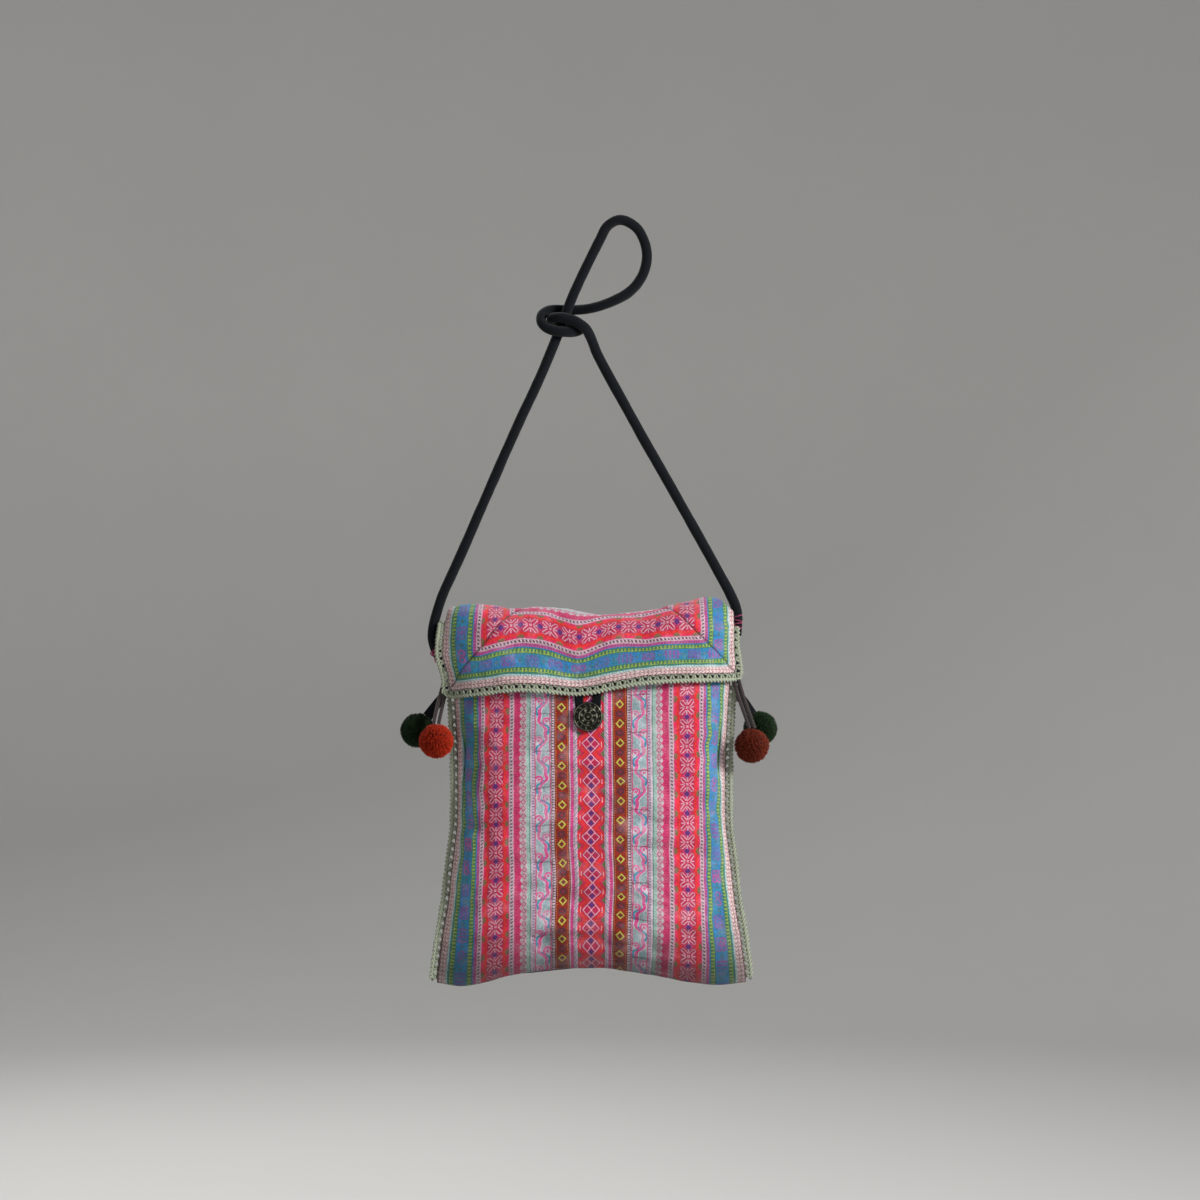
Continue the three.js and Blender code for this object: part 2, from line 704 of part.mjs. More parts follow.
function pompomCentre(pompom) {
  const radius = POMPOM_DIAMETER / 2;
  const level = -PEG_TO_BAG - BAG_HEIGHT * pompom.down;
  const edge = seamAt(heightAt(pompom.side, level)) + EDGING_GAP + EDGING_WIDTH;
  const x = BAG_OFFSET + pompom.side * (edge + pompom.out * radius);
  return new THREE.Vector3(x, pompom.back * radius, level);
}

// How far below the bag's top the flap's hem hangs at a share of the half cloth, and the button's
// centre below it.
const hemDrop = (across) => FLAP_DROP * (1 - read(flapHem, "across", "rise", across));
const buttonAcross = BUTTON_SIDE / HALF_CLOTH;
const buttonDrop =
  hemDrop(buttonAcross) + EDGING_GAP + EDGING_WIDTH + BUTTON_BELOW_EDGING + BUTTON_DIAMETER / 2;

const seamX = (side, drop) => BAG_OFFSET + side * seamAt(heightAt(side, -PEG_TO_BAG - drop));

// Where a hanger meets its pompom: just off the ball, in the direction it comes from.
function pompomTop(pompom, from) {
  const centre = pompomCentre(pompom);
  const towards = from.clone().sub(centre).normalize();
  return centre.addScaledVector(towards, POMPOM_DIAMETER / 2 + GAP);
}

// Flattened end of the strap, from behind the flap's edge to the green pompom.
function tailGeometry(pompom) {
  const side = pompom.side;
  const drop = side === LEFT ? TAIL_TOP_LEFT : TAIL_TOP_RIGHT;
  const clear = EDGING_THICK / 2 + TAIL_THICK / 2 + 2 * GAP;
  const at = (fall, out) =>
    new THREE.Vector3(seamX(side, fall) + side * (out + GAP), clear, -PEG_TO_BAG - fall);
  const bend = at(TAIL_BEND_TOP, TAIL_BEND_OUT);
  const end = pompomTop(pompom, bend);
  const curve = new THREE.CatmullRomCurve3([
    at(drop, TAIL_START_OUT),
    at((drop + TAIL_BEND_TOP) / 2, TAIL_START_OUT + (TAIL_BEND_OUT - TAIL_START_OUT) * 0.1),
    bend,
    bend.clone().lerp(end, 0.5),
    end,
  ]);
  const stations = evenly(10).map((u) => {
    const along = curve.getTangentAt(u);
    const across = new THREE.Vector3(along.z, 0, -along.x).normalize();
    return { centre: curve.getPointAt(u), across, normal: across.clone().cross(along).normalize() };
  });
  return ribbon(stations, TAIL_TOP_WIDTH, TAIL_END_WIDTH, TAIL_THICK);
}

// One of the two cords that carry an orange pompom.
function tieGeometry(pompom, lean) {
  const side = pompom.side;
  const top = -PEG_TO_BAG - TIE_TOP;
  const reach = side * (TIE_START_OUT + GAP + (lean * TIE_SPREAD) / 2);
  const front = -EDGING_THICK / 2 - TIE_DIAMETER / 2 - 1.6 * GAP;
  const start = new THREE.Vector3(seamX(side, TIE_TOP) + reach, front, top);
  const middle = new THREE.Vector3(start.x + side * TIE_BEND_OUT, front - 4 * GAP, top - TIE_BEND);
  const centre = pompomCentre(pompom);
  const above = new THREE.Vector3(side * lean * TIE_SPREAD, 0, POMPOM_DIAMETER);
  const end = pompomTop(pompom, centre.clone().add(above));
  return tube(new THREE.CatmullRomCurve3([start, middle, end]), TIE_DIAMETER, 8, 8);
}

// The strap's curve, sampled closely in the knot and widely on the legs.
class StrapCurve extends THREE.CatmullRomCurve3 {
  getPointAt(u, target) {
    return super.getPointAt(this.lengthShare(u), target);
  }
  getTangentAt(u, target) {
    return super.getTangentAt(this.lengthShare(u), target);
  }
  lengthShare(u) {
    const i = Math.max(1, strapSteps.findIndex((row) => row.step >= u));
    const low = strapSteps[i - 1];
    const high = strapSteps[i];
    return low.length + ((high.length - low.length) * (u - low.step)) / (high.step - low.step);
  }
}

const strapCurve = new StrapCurve(
  strapRoute.map((point) => new THREE.Vector3(...point)),
  false,
  "centripetal",
);
strapCurve.arcLengthDivisions = 2000;

const bag = new THREE.Group();

function add(name, geometry, colour, roughness = 0.9, metalness = 0) {
  const material = new THREE.MeshStandardMaterial({ color: colour, roughness, metalness });
  const mesh = new THREE.Mesh(geometry, material);
  mesh.name = name;
  bag.add(mesh);
  return mesh;
}

add("pouch", pouchGeometry(), colours.cloth);
add("flap", flapGeometry(), colours.flap);
add("edging_left", sideEdging(LEFT), colours.edging);
add("edging_right", sideEdging(RIGHT), colours.edging);
add("edging_flap", flapEdging(), colours.edging);
add("strap", tube(strapCurve, CORD_DIAMETER, CORD_STEPS, CORD_SIDES), colours.navy);
add("button_loop", loopGeometry(), colours.navy);

const buttonPlace = onFront(BUTTON_SIDE, buttonDrop);
const button = add("button", buttonGeometry(), colours.metal, 0.45, 0.9);
button.position.copy(buttonPlace.point);
button.quaternion.setFromUnitVectors(new THREE.Vector3(0, 1, 0), buttonPlace.normal);

for (const pompom of pompoms) {
  const ball = add(pompom.name, pompomGeometry(), pompom.colour, 1);
  ball.position.copy(pompomCentre(pompom));
  const sideName = pompom.side === LEFT ? "left" : "right";
  if (pompom.name.endsWith("green")) {
    add(`tail_${sideName}`, tailGeometry(pompom), colours.navy);
    continue;
  }
  add(`tie_${sideName}_inner`, tieGeometry(pompom, -1), colours.tie);
  add(`tie_${sideName}_outer`, tieGeometry(pompom, 1), colours.tie);
}

export default bag;
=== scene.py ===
"""Looks of an embroidered shoulder bag that hangs by the loop of its knotted strap.

Everything is in metres in the solids' own frame: +X to the right of the front, +Y to the back, +Z up,
and the origin under the top of the strap's loop. Shapes are worked out in millimetres and scaled once.
"""

import math

import bmesh
import bpy
import numpy as np
from bpy.props import FloatProperty, FloatVectorProperty, IntProperty, PointerProperty
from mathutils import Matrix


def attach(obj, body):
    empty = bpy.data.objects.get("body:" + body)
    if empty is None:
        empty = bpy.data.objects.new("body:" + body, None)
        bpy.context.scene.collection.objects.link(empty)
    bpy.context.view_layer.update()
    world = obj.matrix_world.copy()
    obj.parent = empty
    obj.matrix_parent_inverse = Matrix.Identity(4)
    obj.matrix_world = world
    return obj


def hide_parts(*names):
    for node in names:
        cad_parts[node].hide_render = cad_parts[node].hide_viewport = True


bl_info = {
    "name": "Embroidered shoulder bag",
    "version": (1, 0, 0),
    "blender": (4, 5, 0),
    "location": "View3D > Sidebar > Bag",
    "description": "Makes the banded cloth, crochet, pompoms, button and strap of a shoulder bag",
    "category": "Object",
}

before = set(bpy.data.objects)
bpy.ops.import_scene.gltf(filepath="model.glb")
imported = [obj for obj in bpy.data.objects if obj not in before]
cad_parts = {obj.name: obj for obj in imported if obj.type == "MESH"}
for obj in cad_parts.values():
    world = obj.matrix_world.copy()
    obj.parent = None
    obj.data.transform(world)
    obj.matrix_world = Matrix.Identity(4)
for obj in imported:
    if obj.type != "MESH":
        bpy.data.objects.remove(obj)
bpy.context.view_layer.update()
MM = 0.001

# ---------------------------------------------------------------- form shared with the solids

# lengths in mm; across runs from -1 at the left seam to 1 at the right, height from 0 at the bottom fold to
# 1 at the flap's fold, and drop is measured down from the bag's top
HALF_CLOTH = 123.0
BAG_HEIGHT = 309.6
BELLY = 56.0
WALL = 1.8
SEAM_HALF = 2.2
PEG_TO_BAG = 298.4
BAG_OFFSET = -22.8
FLAP_DROP = 73.6
FLAP_BACK = 52.0
FOLD_RISE = 26.0
FRONT_EASE = 4.4
BACK_EASE = 1.4
EDGING_GAP = 0.7
EDGING_WIDTH = 6.0
EDGING_HALF = 1.1
SIDE_EDGING_TOP = 68.0
FLAP_EDGING_TOP = 9.0
RIM_FRONT, RIM_BACK, RIM_SEAM = 15.0, 11.0, 24.0
FRONT, BACK = -1, 1
LEFT, RIGHT = -1, 1

# height share: seam's place as a share of the half cloth, and half depth as a share of half the belly
OUTLINE = np.array([
    (0.0, 1.0, 0.0), (0.025, 0.998, 0.3), (0.07, 0.983, 0.53), (0.13, 0.963, 0.72),
    (0.214, 0.928, 0.88), (0.322, 0.899, 0.98), (0.42, 0.87, 1.0), (0.55, 0.866, 0.97),
    (0.65, 0.872, 0.91), (0.75, 0.885, 0.83), (0.85, 0.905, 0.72), (0.915, 0.92, 0.62),
    (0.96, 0.92, 0.47), (1.0, 0.908, 0.3),
])
# across: dip of the flap's fold below the top, and rise of the bottom fold, as shares of the height
LINES = np.array([
    (-1.0, 0.029, 0.01), (-0.82, 0.017, 0.002), (-0.5, 0.029, 0.031), (-0.24, 0.031, 0.044),
    (0.05, 0.043, 0.049), (0.34, 0.034, 0.034), (0.62, 0.013, 0.013), (0.82, 0.0, 0.005),
    (1.0, 0.036, 0.012),
])
# side, across, height, half width, half height, and how far it stands out as a share of the belly
POUCH_FOLDS = (
    (FRONT, -0.86, 0.57, 0.07, 0.09, -0.13), (FRONT, -0.84, 0.33, 0.1, 0.08, 0.07),
    (FRONT, -0.62, 0.46, 0.09, 0.16, 0.035), (FRONT, 0.88, 0.62, 0.06, 0.07, -0.12),
    (FRONT, 0.82, 0.47, 0.09, 0.08, 0.05), (FRONT, 0.86, 0.2, 0.06, 0.09, -0.06),
    (FRONT, -0.3, 0.05, 0.07, 0.06, -0.06), (FRONT, 0.12, 0.04, 0.07, 0.05, -0.05),
    (FRONT, 0.42, 0.05, 0.06, 0.06, -0.05), (BACK, -0.84, 0.45, 0.08, 0.1, -0.1),
    (BACK, 0.85, 0.52, 0.08, 0.1, -0.11), (BACK, 0.1, 0.05, 0.09, 0.06, -0.06),
)
# down the drop: the flap's left and right side edges as shares of the pouch's seam
FLAP_SIDES = np.array([
    (0.0, 1.045, 1.0), (0.3, 1.055, 1.01), (0.75, 1.03, 1.027), (1.0, 1.034, 1.034),
])
# across: the hem's rise above its lowest corner, as a share of the drop
FLAP_HEM = np.array([
    (-1.0, 0.012), (-0.95, 0.0), (-0.72, 0.037), (-0.5, 0.077), (-0.31, 0.07), (-0.08, 0.037),
    (0.13, 0.097), (0.34, 0.156), (0.56, 0.178), (1.0, 0.185),
])
# across, down the drop, half width, half height, and how far it stands out as a share of the belly
FLAP_WAVES = (
    (-0.45, 0.9, 0.17, 0.6, 0.045), (-0.08, 0.9, 0.1, 0.5, -0.02),
    (0.4, 0.8, 0.2, 0.6, 0.045), (0.82, 0.6, 0.12, 0.5, 0.03),
)
# across: how many mm the bands of the flap's front lie above the place that their distance from the hem gives
FLAP_SAG = np.array([
    (-1.0, -1.0), (-0.75, -2.8), (-0.58, -1.5), (-0.45, 1.2), (-0.36, 0.6), (-0.21, -2.4),
    (-0.09, -6.0), (0.03, -3.6), (0.16, -2.2), (0.33, -4.8), (0.49, -3.8), (0.7, -4.8), (1.0, -2.0),
])
FOLD_POWER = 1.75
# side, distance in from the edge, half width, height share, half height, and mm out of the cloth
SIDE_TUCKS = (
    (LEFT, 10.5, 3.6, 0.6, 0.05, -7.5), (LEFT, 19.0, 5.0, 0.59, 0.08, 2.4),
    (LEFT, 13.0, 6.0, 0.49, 0.03, -1.6), (LEFT, 20.0, 9.0, 0.43, 0.022, -1.4),
    (LEFT, 8.0, 5.0, 0.34, 0.03, -1.3), (RIGHT, 9.5, 3.6, 0.61, 0.05, -6.0),
    (RIGHT, 17.0, 5.0, 0.6, 0.08, 1.4), (RIGHT, 15.0, 7.0, 0.46, 0.03, -1.5),
    (RIGHT, 10.0, 5.0, 0.28, 0.035, -1.4),
)
# the strap's middle line from its left end over the loop's top and through the knot to its right end
STRAP_ROUTE = np.array([
    (-138.2, 1, -357), (-142, 1, -350), (-147.2, 1, -341), (-150, 1, -331), (-149.6, 0.8, -322),
    (-146.6, 0.5, -310), (-142, 0.2, -296), (-132.8, 0, -276), (-98.2, 0, -197), (-80, 0, -156),
    (-62, 0, -117.4), (-39, 0, -59.9), (-36.7, 0, -54.4), (-31.8, 0, -43.4), (-26.6, 0, -32.6),
    (-21.3, 0, -21.9), (-15.9, 0, -11.1), (-10, 0, -0.8), (0.2, 0, 4.1), (12.4, 0, -1.5),
    (18.9, 0, -11.5), (21.6, 0, -23.1), (20.1, 0, -34.9), (14.9, 0, -45.6), (6.6, 0.1, -54.2),
    (-3.8, 0.7, -59.9), (-14.9, 2.6, -64.1), (-20.5, 4.1, -65.5), (-28, 6.4, -66.7),
    (-35.7, 8.3, -67.1), (-43.6, 9, -67), (-51.4, 7.9, -67.1), (-57.4, 6, -68),
    (-62.4, 1.4, -71.9), (-62.7, -3.2, -77.7), (-58.7, -7, -82.7), (-51.7, -9.1, -85.5),
    (-43.8, -8.7, -86.3), (-36.7, -5.4, -85.8), (-32.1, -0.5, -83.5), (-33.2, 4.6, -80.1),
    (-39.6, 8, -78.2), (-47.8, 8.8, -77), (-54, 4.4, -75.8), (-53.6, -4.6, -74.8),
    (-47, -9.5, -74.8), (-39.1, -10.5, -76.6), (-33.6, -11.2, -79.2), (-27.4, -9.6, -84),
    (-23.8, -5.2, -89.8), (-20.9, -2.2, -96.6), (-18.8, -0.9, -102.1), (10.2, 0, -155.6),
    (33, 0, -196), (66.8, 0, -256), (77.8, 0.2, -276), (87.6, 0.5, -294), (92.8, 0.9, -306),
    (94, 1, -314), (93.6, 1, -322), (93, 1, -330),
])
# name: side, centre's reach out of the edging and back in radii, and its drop as a share of the height
POMPOMS = {
    "pompom_left_orange": (LEFT, 0.69, -0.98, 0.368),
    "pompom_left_green": (LEFT, 1.83, 0.72, 0.3437),
    "pompom_right_orange": (RIGHT, 1.0, -0.68, 0.38),
    "pompom_right_green": (RIGHT, 1.54, 1.16, 0.3385),
}
SIDE_NAMES = {LEFT: "left", RIGHT: "right"}
POMPOM_RADIUS = 14.0
TIE_TOP = 66.0
TAIL_TOPS = {LEFT: 59.6, RIGHT: 32.2}
TAIL_BEND = 76.0


def hermite(t, start, leave, end, arrive):
    """Cubic from start to end, for t from 0 to 1, with the slopes leave and arrive."""
    return (
        (2 * t**3 - 3 * t**2 + 1) * start + (t**3 - 2 * t**2 + t) * leave
        + (3 * t**2 - 2 * t**3) * end + (t**3 - t**2) * arrive
    )


def smooth_read(table, column, at):
    """Cubic through a table's rows: Hermite pieces whose slope at a row is the rise over its two neighbours."""
    x, y = table[:, 0], table[:, column]
    k = np.arange(len(x))
    low, high = np.maximum(k - 1, 0), np.minimum(k + 1, len(x) - 1)
    slope = (y[high] - y[low]) / (x[high] - x[low])
    i = np.clip(np.searchsorted(x, at), 1, len(x) - 1)
    span = x[i] - x[i - 1]
    t = np.clip((at - x[i - 1]) / span, 0, 1)
    return hermite(t, y[i - 1], span * slope[i - 1], y[i], span * slope[i])


def bell(offset, half):
    """1 in the middle and falling to 1/e at the half width: exp of minus the squared share."""
    return np.exp(-((offset / half) ** 2))


def seam_at(height):
    """The seam's distance from the bag's middle."""
    return HALF_CLOTH * smooth_read(OUTLINE, 1, height)


def depth_at(height):
    """How far the pouch's middle stands out from the seam's plane."""
    return BELLY / 2 * np.maximum(0, smooth_read(OUTLINE, 2, height))


def fold_line(across):
    """Level of the flap's fold."""
    return -PEG_TO_BAG - BAG_HEIGHT * smooth_read(LINES, 1, across)


def bottom_line(across):
    """Level of the pouch's bottom fold."""
    return -PEG_TO_BAG - BAG_HEIGHT + BAG_HEIGHT * smooth_read(LINES, 2, across)


def level_at(across, height):
    """z of a height share: between the bottom line and the fold line."""
    return bottom_line(across) + (fold_line(across) - bottom_line(across)) * height


def height_at(across, level):
    """Height share of a z."""
    return (level - bottom_line(across)) / (fold_line(across) - bottom_line(across))


def across_to_x(across, seam):
    """Cloth keeps its width in the middle: x = a c - (c - seam) a^5 for a half cloth of c."""
    return across * HALF_CLOTH - (HALF_CLOTH - seam) * across**5


def fullness(across):
    """1 in the middle and 0 at the seams: 1 - a^4."""
    return 1 - across**4


def rim_height(side, across):
    """Height share of the pouch's rim, which lies lower at the seams: drop + (seam's drop - drop) a^4."""
    drop = np.where(side == FRONT, RIM_FRONT, RIM_BACK)
    return 1 - (drop + (RIM_SEAM - drop) * across**4) / BAG_HEIGHT


def pouch_points(side, across, height):
    """Outer face: seam slit + depth(height) * (1 - a^4) + the dents' bells, mirrored front to back."""
    out = SEAM_HALF + depth_at(height) * fullness(across)
    for which, a, h, wide, tall, share in POUCH_FOLDS:
        swell = BELLY * share * bell(across - a, wide) * bell(height - h, tall)
        out = out + np.where(side == which, swell * np.minimum(1, fullness(across) * 2), 0)
    out = np.maximum(out, SEAM_HALF)
    x = BAG_OFFSET + across_to_x(across, seam_at(height))
    return np.stack(np.broadcast_arrays(x, side * out, level_at(across, height)), -1)


def hem_drop(across):
    """How far the flap's hem hangs below the top."""
    return FLAP_DROP * (1 - smooth_read(FLAP_HEM, 1, across))


def flap_points(across, course):
    """Middle of the flap's cloth: course 0 to 1 up the back, to 2 round the fold, to 3 down the drop.

    y is the pouch's depth there + ease + half a wall, times 1 on the back, -1 on the front and the fold's
    curve between, and the waves' bells stand out of it. z rises by the fold's height times sin(angle).
    """
    across, course = np.broadcast_arrays(np.asarray(across, float), np.asarray(course, float))
    top = fold_line(across)
    spring = top - FOLD_RISE
    hem = -PEG_TO_BAG - hem_drop(across)
    down = np.clip(course - 2, 0, 1)
    edge = np.where(across < 0, smooth_read(FLAP_SIDES, 1, down), smooth_read(FLAP_SIDES, 2, down))
    blend = np.minimum(1, np.abs(across) * 3)
    turned = np.clip(2 * course - 3, 0, 1)
    angle = math.pi * (2 - np.clip(course, 1, 2))
    behind = top - FLAP_BACK + (FLAP_BACK - FOLD_RISE) * np.clip(course, 0, 1)
    level = np.where(course <= 1, behind, spring + (hem - spring) * down)
    height = height_at(across, level)
    ease = np.where(angle > math.pi / 2, BACK_EASE, FRONT_EASE)
    standing = SEAM_HALF + depth_at(height) * fullness(across) + ease + WALL / 2
    # the front of the fold leans: a quarter of |y|^n + |z|^n = 1, and the back is a quarter circle
    lean = np.maximum(0, 1 - np.abs(np.sin(angle)) ** FOLD_POWER) ** (1 / FOLD_POWER)
    y = np.where(angle > math.pi / 2, -np.cos(angle), -lean) * standing
    for a, d, wide, tall, share in FLAP_WAVES:
        y = y - BELLY * share * bell(across - a, wide) * bell(down - d, tall) * down
    seam = seam_at(height) * (1 + (edge - 1) * blend * turned)
    return np.stack([BAG_OFFSET + across_to_x(across, seam), y, level + FOLD_RISE * np.sin(angle)], -1)


def unit(v):
    """Vectors scaled to length 1."""
    return v / np.maximum(np.linalg.norm(v, axis=-1, keepdims=True), 1e-12)


def normals_of(surface, u, v):
    """Cross product of the surface's central differences along its two parameters."""
    step = 0.004
    along_u = surface(u + step, v) - surface(u - step, v)
    along_v = surface(u, v + step) - surface(u, v - step)
    return unit(np.cross(along_u, along_v))


def smoothstep(t):
    """3 t^2 - 2 t^3 between 0 and 1, and flat beyond."""
    t = np.clip(t, 0, 1)
    return t**2 * (3 - 2 * t)


def lengths_along(points):
    """Length of a line of points up to each of them."""
    return np.concatenate([[0], np.cumsum(np.linalg.norm(np.diff(points, axis=0), axis=1))])


LATTICE = 64


def lattice_noise(u, v, size, seed):
    """Smooth noise from -1 to 1: seeded values on a square lattice, joined by smoothstep in both ways."""
    table = np.random.default_rng(seed).uniform(-1, 1, (LATTICE, LATTICE))
    gu, gv = np.asarray(u) / size + 1000, np.asarray(v) / size + 1000
    iu, iv = np.floor(gu).astype(int), np.floor(gv).astype(int)
    fu, fv = gu - iu, gv - iv
    fu, fv = fu * fu * (3 - 2 * fu), fv * fv * (3 - 2 * fv)
    at = lambda a, b: table[(iu + a) % LATTICE, (iv + b) % LATTICE]
    return (at(0, 0) * (1 - fu) + at(1, 0) * fu) * (1 - fv) + (at(0, 1) * (1 - fu) + at(1, 1) * fu) * fv


def through(points, spacing):
    """Centripetal Catmull-Rom curve through points, sampled evenly along its length."""
    p = np.vstack([2 * points[0] - points[1], points, 2 * points[-1] - points[-2]])
    gap = np.linalg.norm(np.diff(p, axis=0), axis=1)[:, None] ** 0.5
    d0, d1, d2 = gap[:-2], gap[1:-1], gap[2:]
    p0, p1, p2, p3 = p[:-3], p[1:-2], p[2:-1], p[3:]
    t1 = ((p1 - p0) / d0 - (p2 - p0) / (d0 + d1) + (p2 - p1) / d1) * d1
    t2 = ((p2 - p1) / d1 - (p3 - p1) / (d1 + d2) + (p3 - p2) / d2) * d1
    t = np.linspace(0, 1, 40, endpoint=False)[None, :, None]
    curve = hermite(t, *(rows[:, None] for rows in (p1, t1, p2, t2))).reshape(-1, 3)
    curve = np.vstack([curve, points[-1]])
    length = lengths_along(curve)
    count = max(2, int(round(length[-1] / spacing)) + 1)
    even = np.linspace(0, length[-1], count)
    return np.stack([np.interp(even, length, curve[:, k]) for k in range(3)], -1)


# ---------------------------------------------------------------- bands of the cloth

# name, width in mm from the outer edge inwards, how far it stands out of the cloth, strips across it
BANDS = (
    ("braid", 6.0, 0.35, 3), ("aqua_line", 1.6, 0.3, 2), ("teal_line", 1.2, 0.0, 1),
    ("teeth_outer", 4.2, 0.12, 2), ("blue_motifs", 10.4, 0.0, 4), ("teeth_inner", 4.2, 0.12, 2),
    ("blue_line", 1.0, 0.0, 1), ("mauve_line", 2.4, 0.15, 2), ("dotted_outer", 4.0, 0.3, 3),
    ("stars", 22.0, 0.1, 9), ("dotted_inner", 4.8, 0.3, 3), ("pink_line", 4.0, 0.1, 2),
    ("lace", 7.0, 0.05, 4), ("pale_line", 3.0, 0.0, 2), ("bead_line", 2.0, 0.25, 2),
    ("waves", 14.0, 0.0, 7), ("dotted_dark", 2.4, 0.3, 2), ("ribbon", 11.6, 0.3, 5),
    ("white_line", 1.0, 0.2, 1), ("pink_cord", 2.4, 0.25, 2), ("twisted_cord", 3.2, 0.6, 3),
    ("middle", 10.6, 0.1, 5),
)
BAND_STARTS = np.concatenate([[0], np.cumsum([width for _, width, _, _ in BANDS])])


def band_stops():
    """Distances in from the outer edge at which columns lie, the band right of each, and its lift."""
    stops, bands, lifts = [], [], []
    for k, (_, width, lift, strips) in enumerate(BANDS):
        for s in range(strips):
            stops.append(BAND_STARTS[k] + width * s / strips)
            bands.append(k)
            lifts.append(0.0 if s == 0 else lift)
    return np.array(stops + [BAND_STARTS[-1]]), np.array(bands), np.array(lifts + [BANDS[-1][2]])


def crumple(u, v):
    """Small quilting wrinkles of the cloth in mm: soft noise, longer across the bands than along them."""
    fine = 2.2 * lattice_noise(u, 2.2 * v, 26, 11) + 1.3 * lattice_noise(u, 2.2 * v, 11, 12)
    broad = 2.8 * lattice_noise(u, 1.2 * v, 50, 13)
    return fine + broad


def creases(distance, v):
    """Stitched creases across the bands: narrow valleys about 32 and 41 mm apart, deepest in the wave bands."""
    soft = 0.25 + 0.75 * bell(distance - 79, 17)
    jitter = 3.0 * lattice_noise(distance, v, 30, 14)
    phase = np.abs((v + jitter) % 32 - 16)
    half_way = np.abs((v + 1.6 * jitter + 14) % 41 - 20.5)
    return -soft * (1.6 * bell(phase, 1.9) + 0.9 * bell(half_way, 1.6))


def tucks(side, across, height, distance):
    """Short folds that pull the front's side bands in: valleys and ridges as bells of distance and height."""
    out = 0.0
    for which, d, wide, h, tall, mm in SIDE_TUCKS:
        there = (np.sign(across) == which) & (side == FRONT)
        out = out + np.where(there, mm * bell(distance - d, wide) * bell(height - h, tall), 0.0)
    return out


# ---------------------------------------------------------------- meshes

POINT_RADIUS = 1e-4


def grid_quads(rows, columns, wraps=False):
    """Corner numbers of the cells of a grid of points stored row by row."""
    r = np.arange(rows - 1)[:, None]
    c = np.arange(columns if wraps else columns - 1)[None, :]
    d = (c + 1) % columns
    cells = [r * columns + c, r * columns + d, (r + 1) * columns + d, (r + 1) * columns + c]
    return np.stack(np.broadcast_arrays(*cells), -1).reshape(-1, 4)


def make_mesh(name, points, quads, slots=None, corner_uv=None, values=None):
    """Smooth mesh object from points in mm, four-cornered faces, face slots, corner UVs and point values."""
    mesh = bpy.data.meshes.new(name)
    mesh.vertices.add(len(points))
    mesh.vertices.foreach_set("co", (np.asarray(points) * MM).astype(np.float32).ravel())
    mesh.loops.add(quads.size)
    mesh.loops.foreach_set("vertex_index", quads.astype(np.int32).ravel())
    mesh.polygons.add(len(quads))
    mesh.polygons.foreach_set("loop_start", np.arange(0, quads.size, 4, dtype=np.int32))
    mesh.polygons.foreach_set("loop_total", np.full(len(quads), 4, dtype=np.int32))
    if slots is not None:
        mesh.polygons.foreach_set("material_index", np.asarray(slots, dtype=np.int32))
    mesh.update(calc_edges=True)
    if corner_uv is not None:
        layer = mesh.uv_layers.new(name="cloth")
        layer.data.foreach_set("uv", corner_uv.astype(np.float32).ravel())
    for key, value in (values or {}).items():
        layer = mesh.attributes.new(key, "FLOAT", "POINT")
        layer.data.foreach_set("value", np.asarray(value, dtype=np.float32).ravel())
    mesh.polygons.foreach_set("use_smooth", np.full(len(quads), True))
    piece = bpy.data.objects.new(name, mesh)
    bpy.context.scene.collection.objects.link(piece)
    return piece


def weld(piece, distance=0.02):
    """Joins points that lie together, drops faces without area and turns the rest outwards."""
    work = bmesh.new()
    work.from_mesh(piece.data)
    bmesh.ops.remove_doubles(work, verts=work.verts, dist=distance * MM)
    bmesh.ops.dissolve_degenerate(work, dist=1e-6, edges=work.edges)
    bmesh.ops.recalc_face_normals(work, faces=work.faces)
    work.to_mesh(piece.data)
    work.free()


def finish_piece(piece, materials, nodes=(), slot=None):
    """Gives a piece its materials and its place on the root body, and hides the solids it stands for."""
    for material in materials:
        piece.data.materials.append(material)
    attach(piece, "root")
    if nodes:
        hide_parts(*nodes)


def add_piece(name, points, quads, gap, material, nodes=(), slot=None, **layers):
    """Makes, welds and finishes a piece of one material."""
    piece = make_mesh(name, points, quads, **layers)
    weld(piece, gap)
    finish_piece(piece, [material], nodes, slot)
    return piece


def thicken(piece, offset):
    """Gives cloth its wall, whose inner side and rim take the last slot, the lining."""
    wall = piece.modifiers.new("wall", "SOLIDIFY")
    wall.thickness = size("wall") * MM
    wall.offset = offset
    wall.material_offset = wall.material_offset_rim = len(BANDS)


def with_ends(paths):
    """Paths with one station more at each end, a thousandth of a step further."""
    first = paths[:, :1] + (paths[:, :1] - paths[:, 1:2]) * 1e-3
    last = paths[:, -1:] + (paths[:, -1:] - paths[:, -2:-1]) * 1e-3
    return np.concatenate([first, paths, last], 1)


def ends_doubled(rows):
    """Values of stations, with those of the first and last station twice."""
    return np.concatenate([rows[:, :1], rows, rows[:, -1:]], 1)


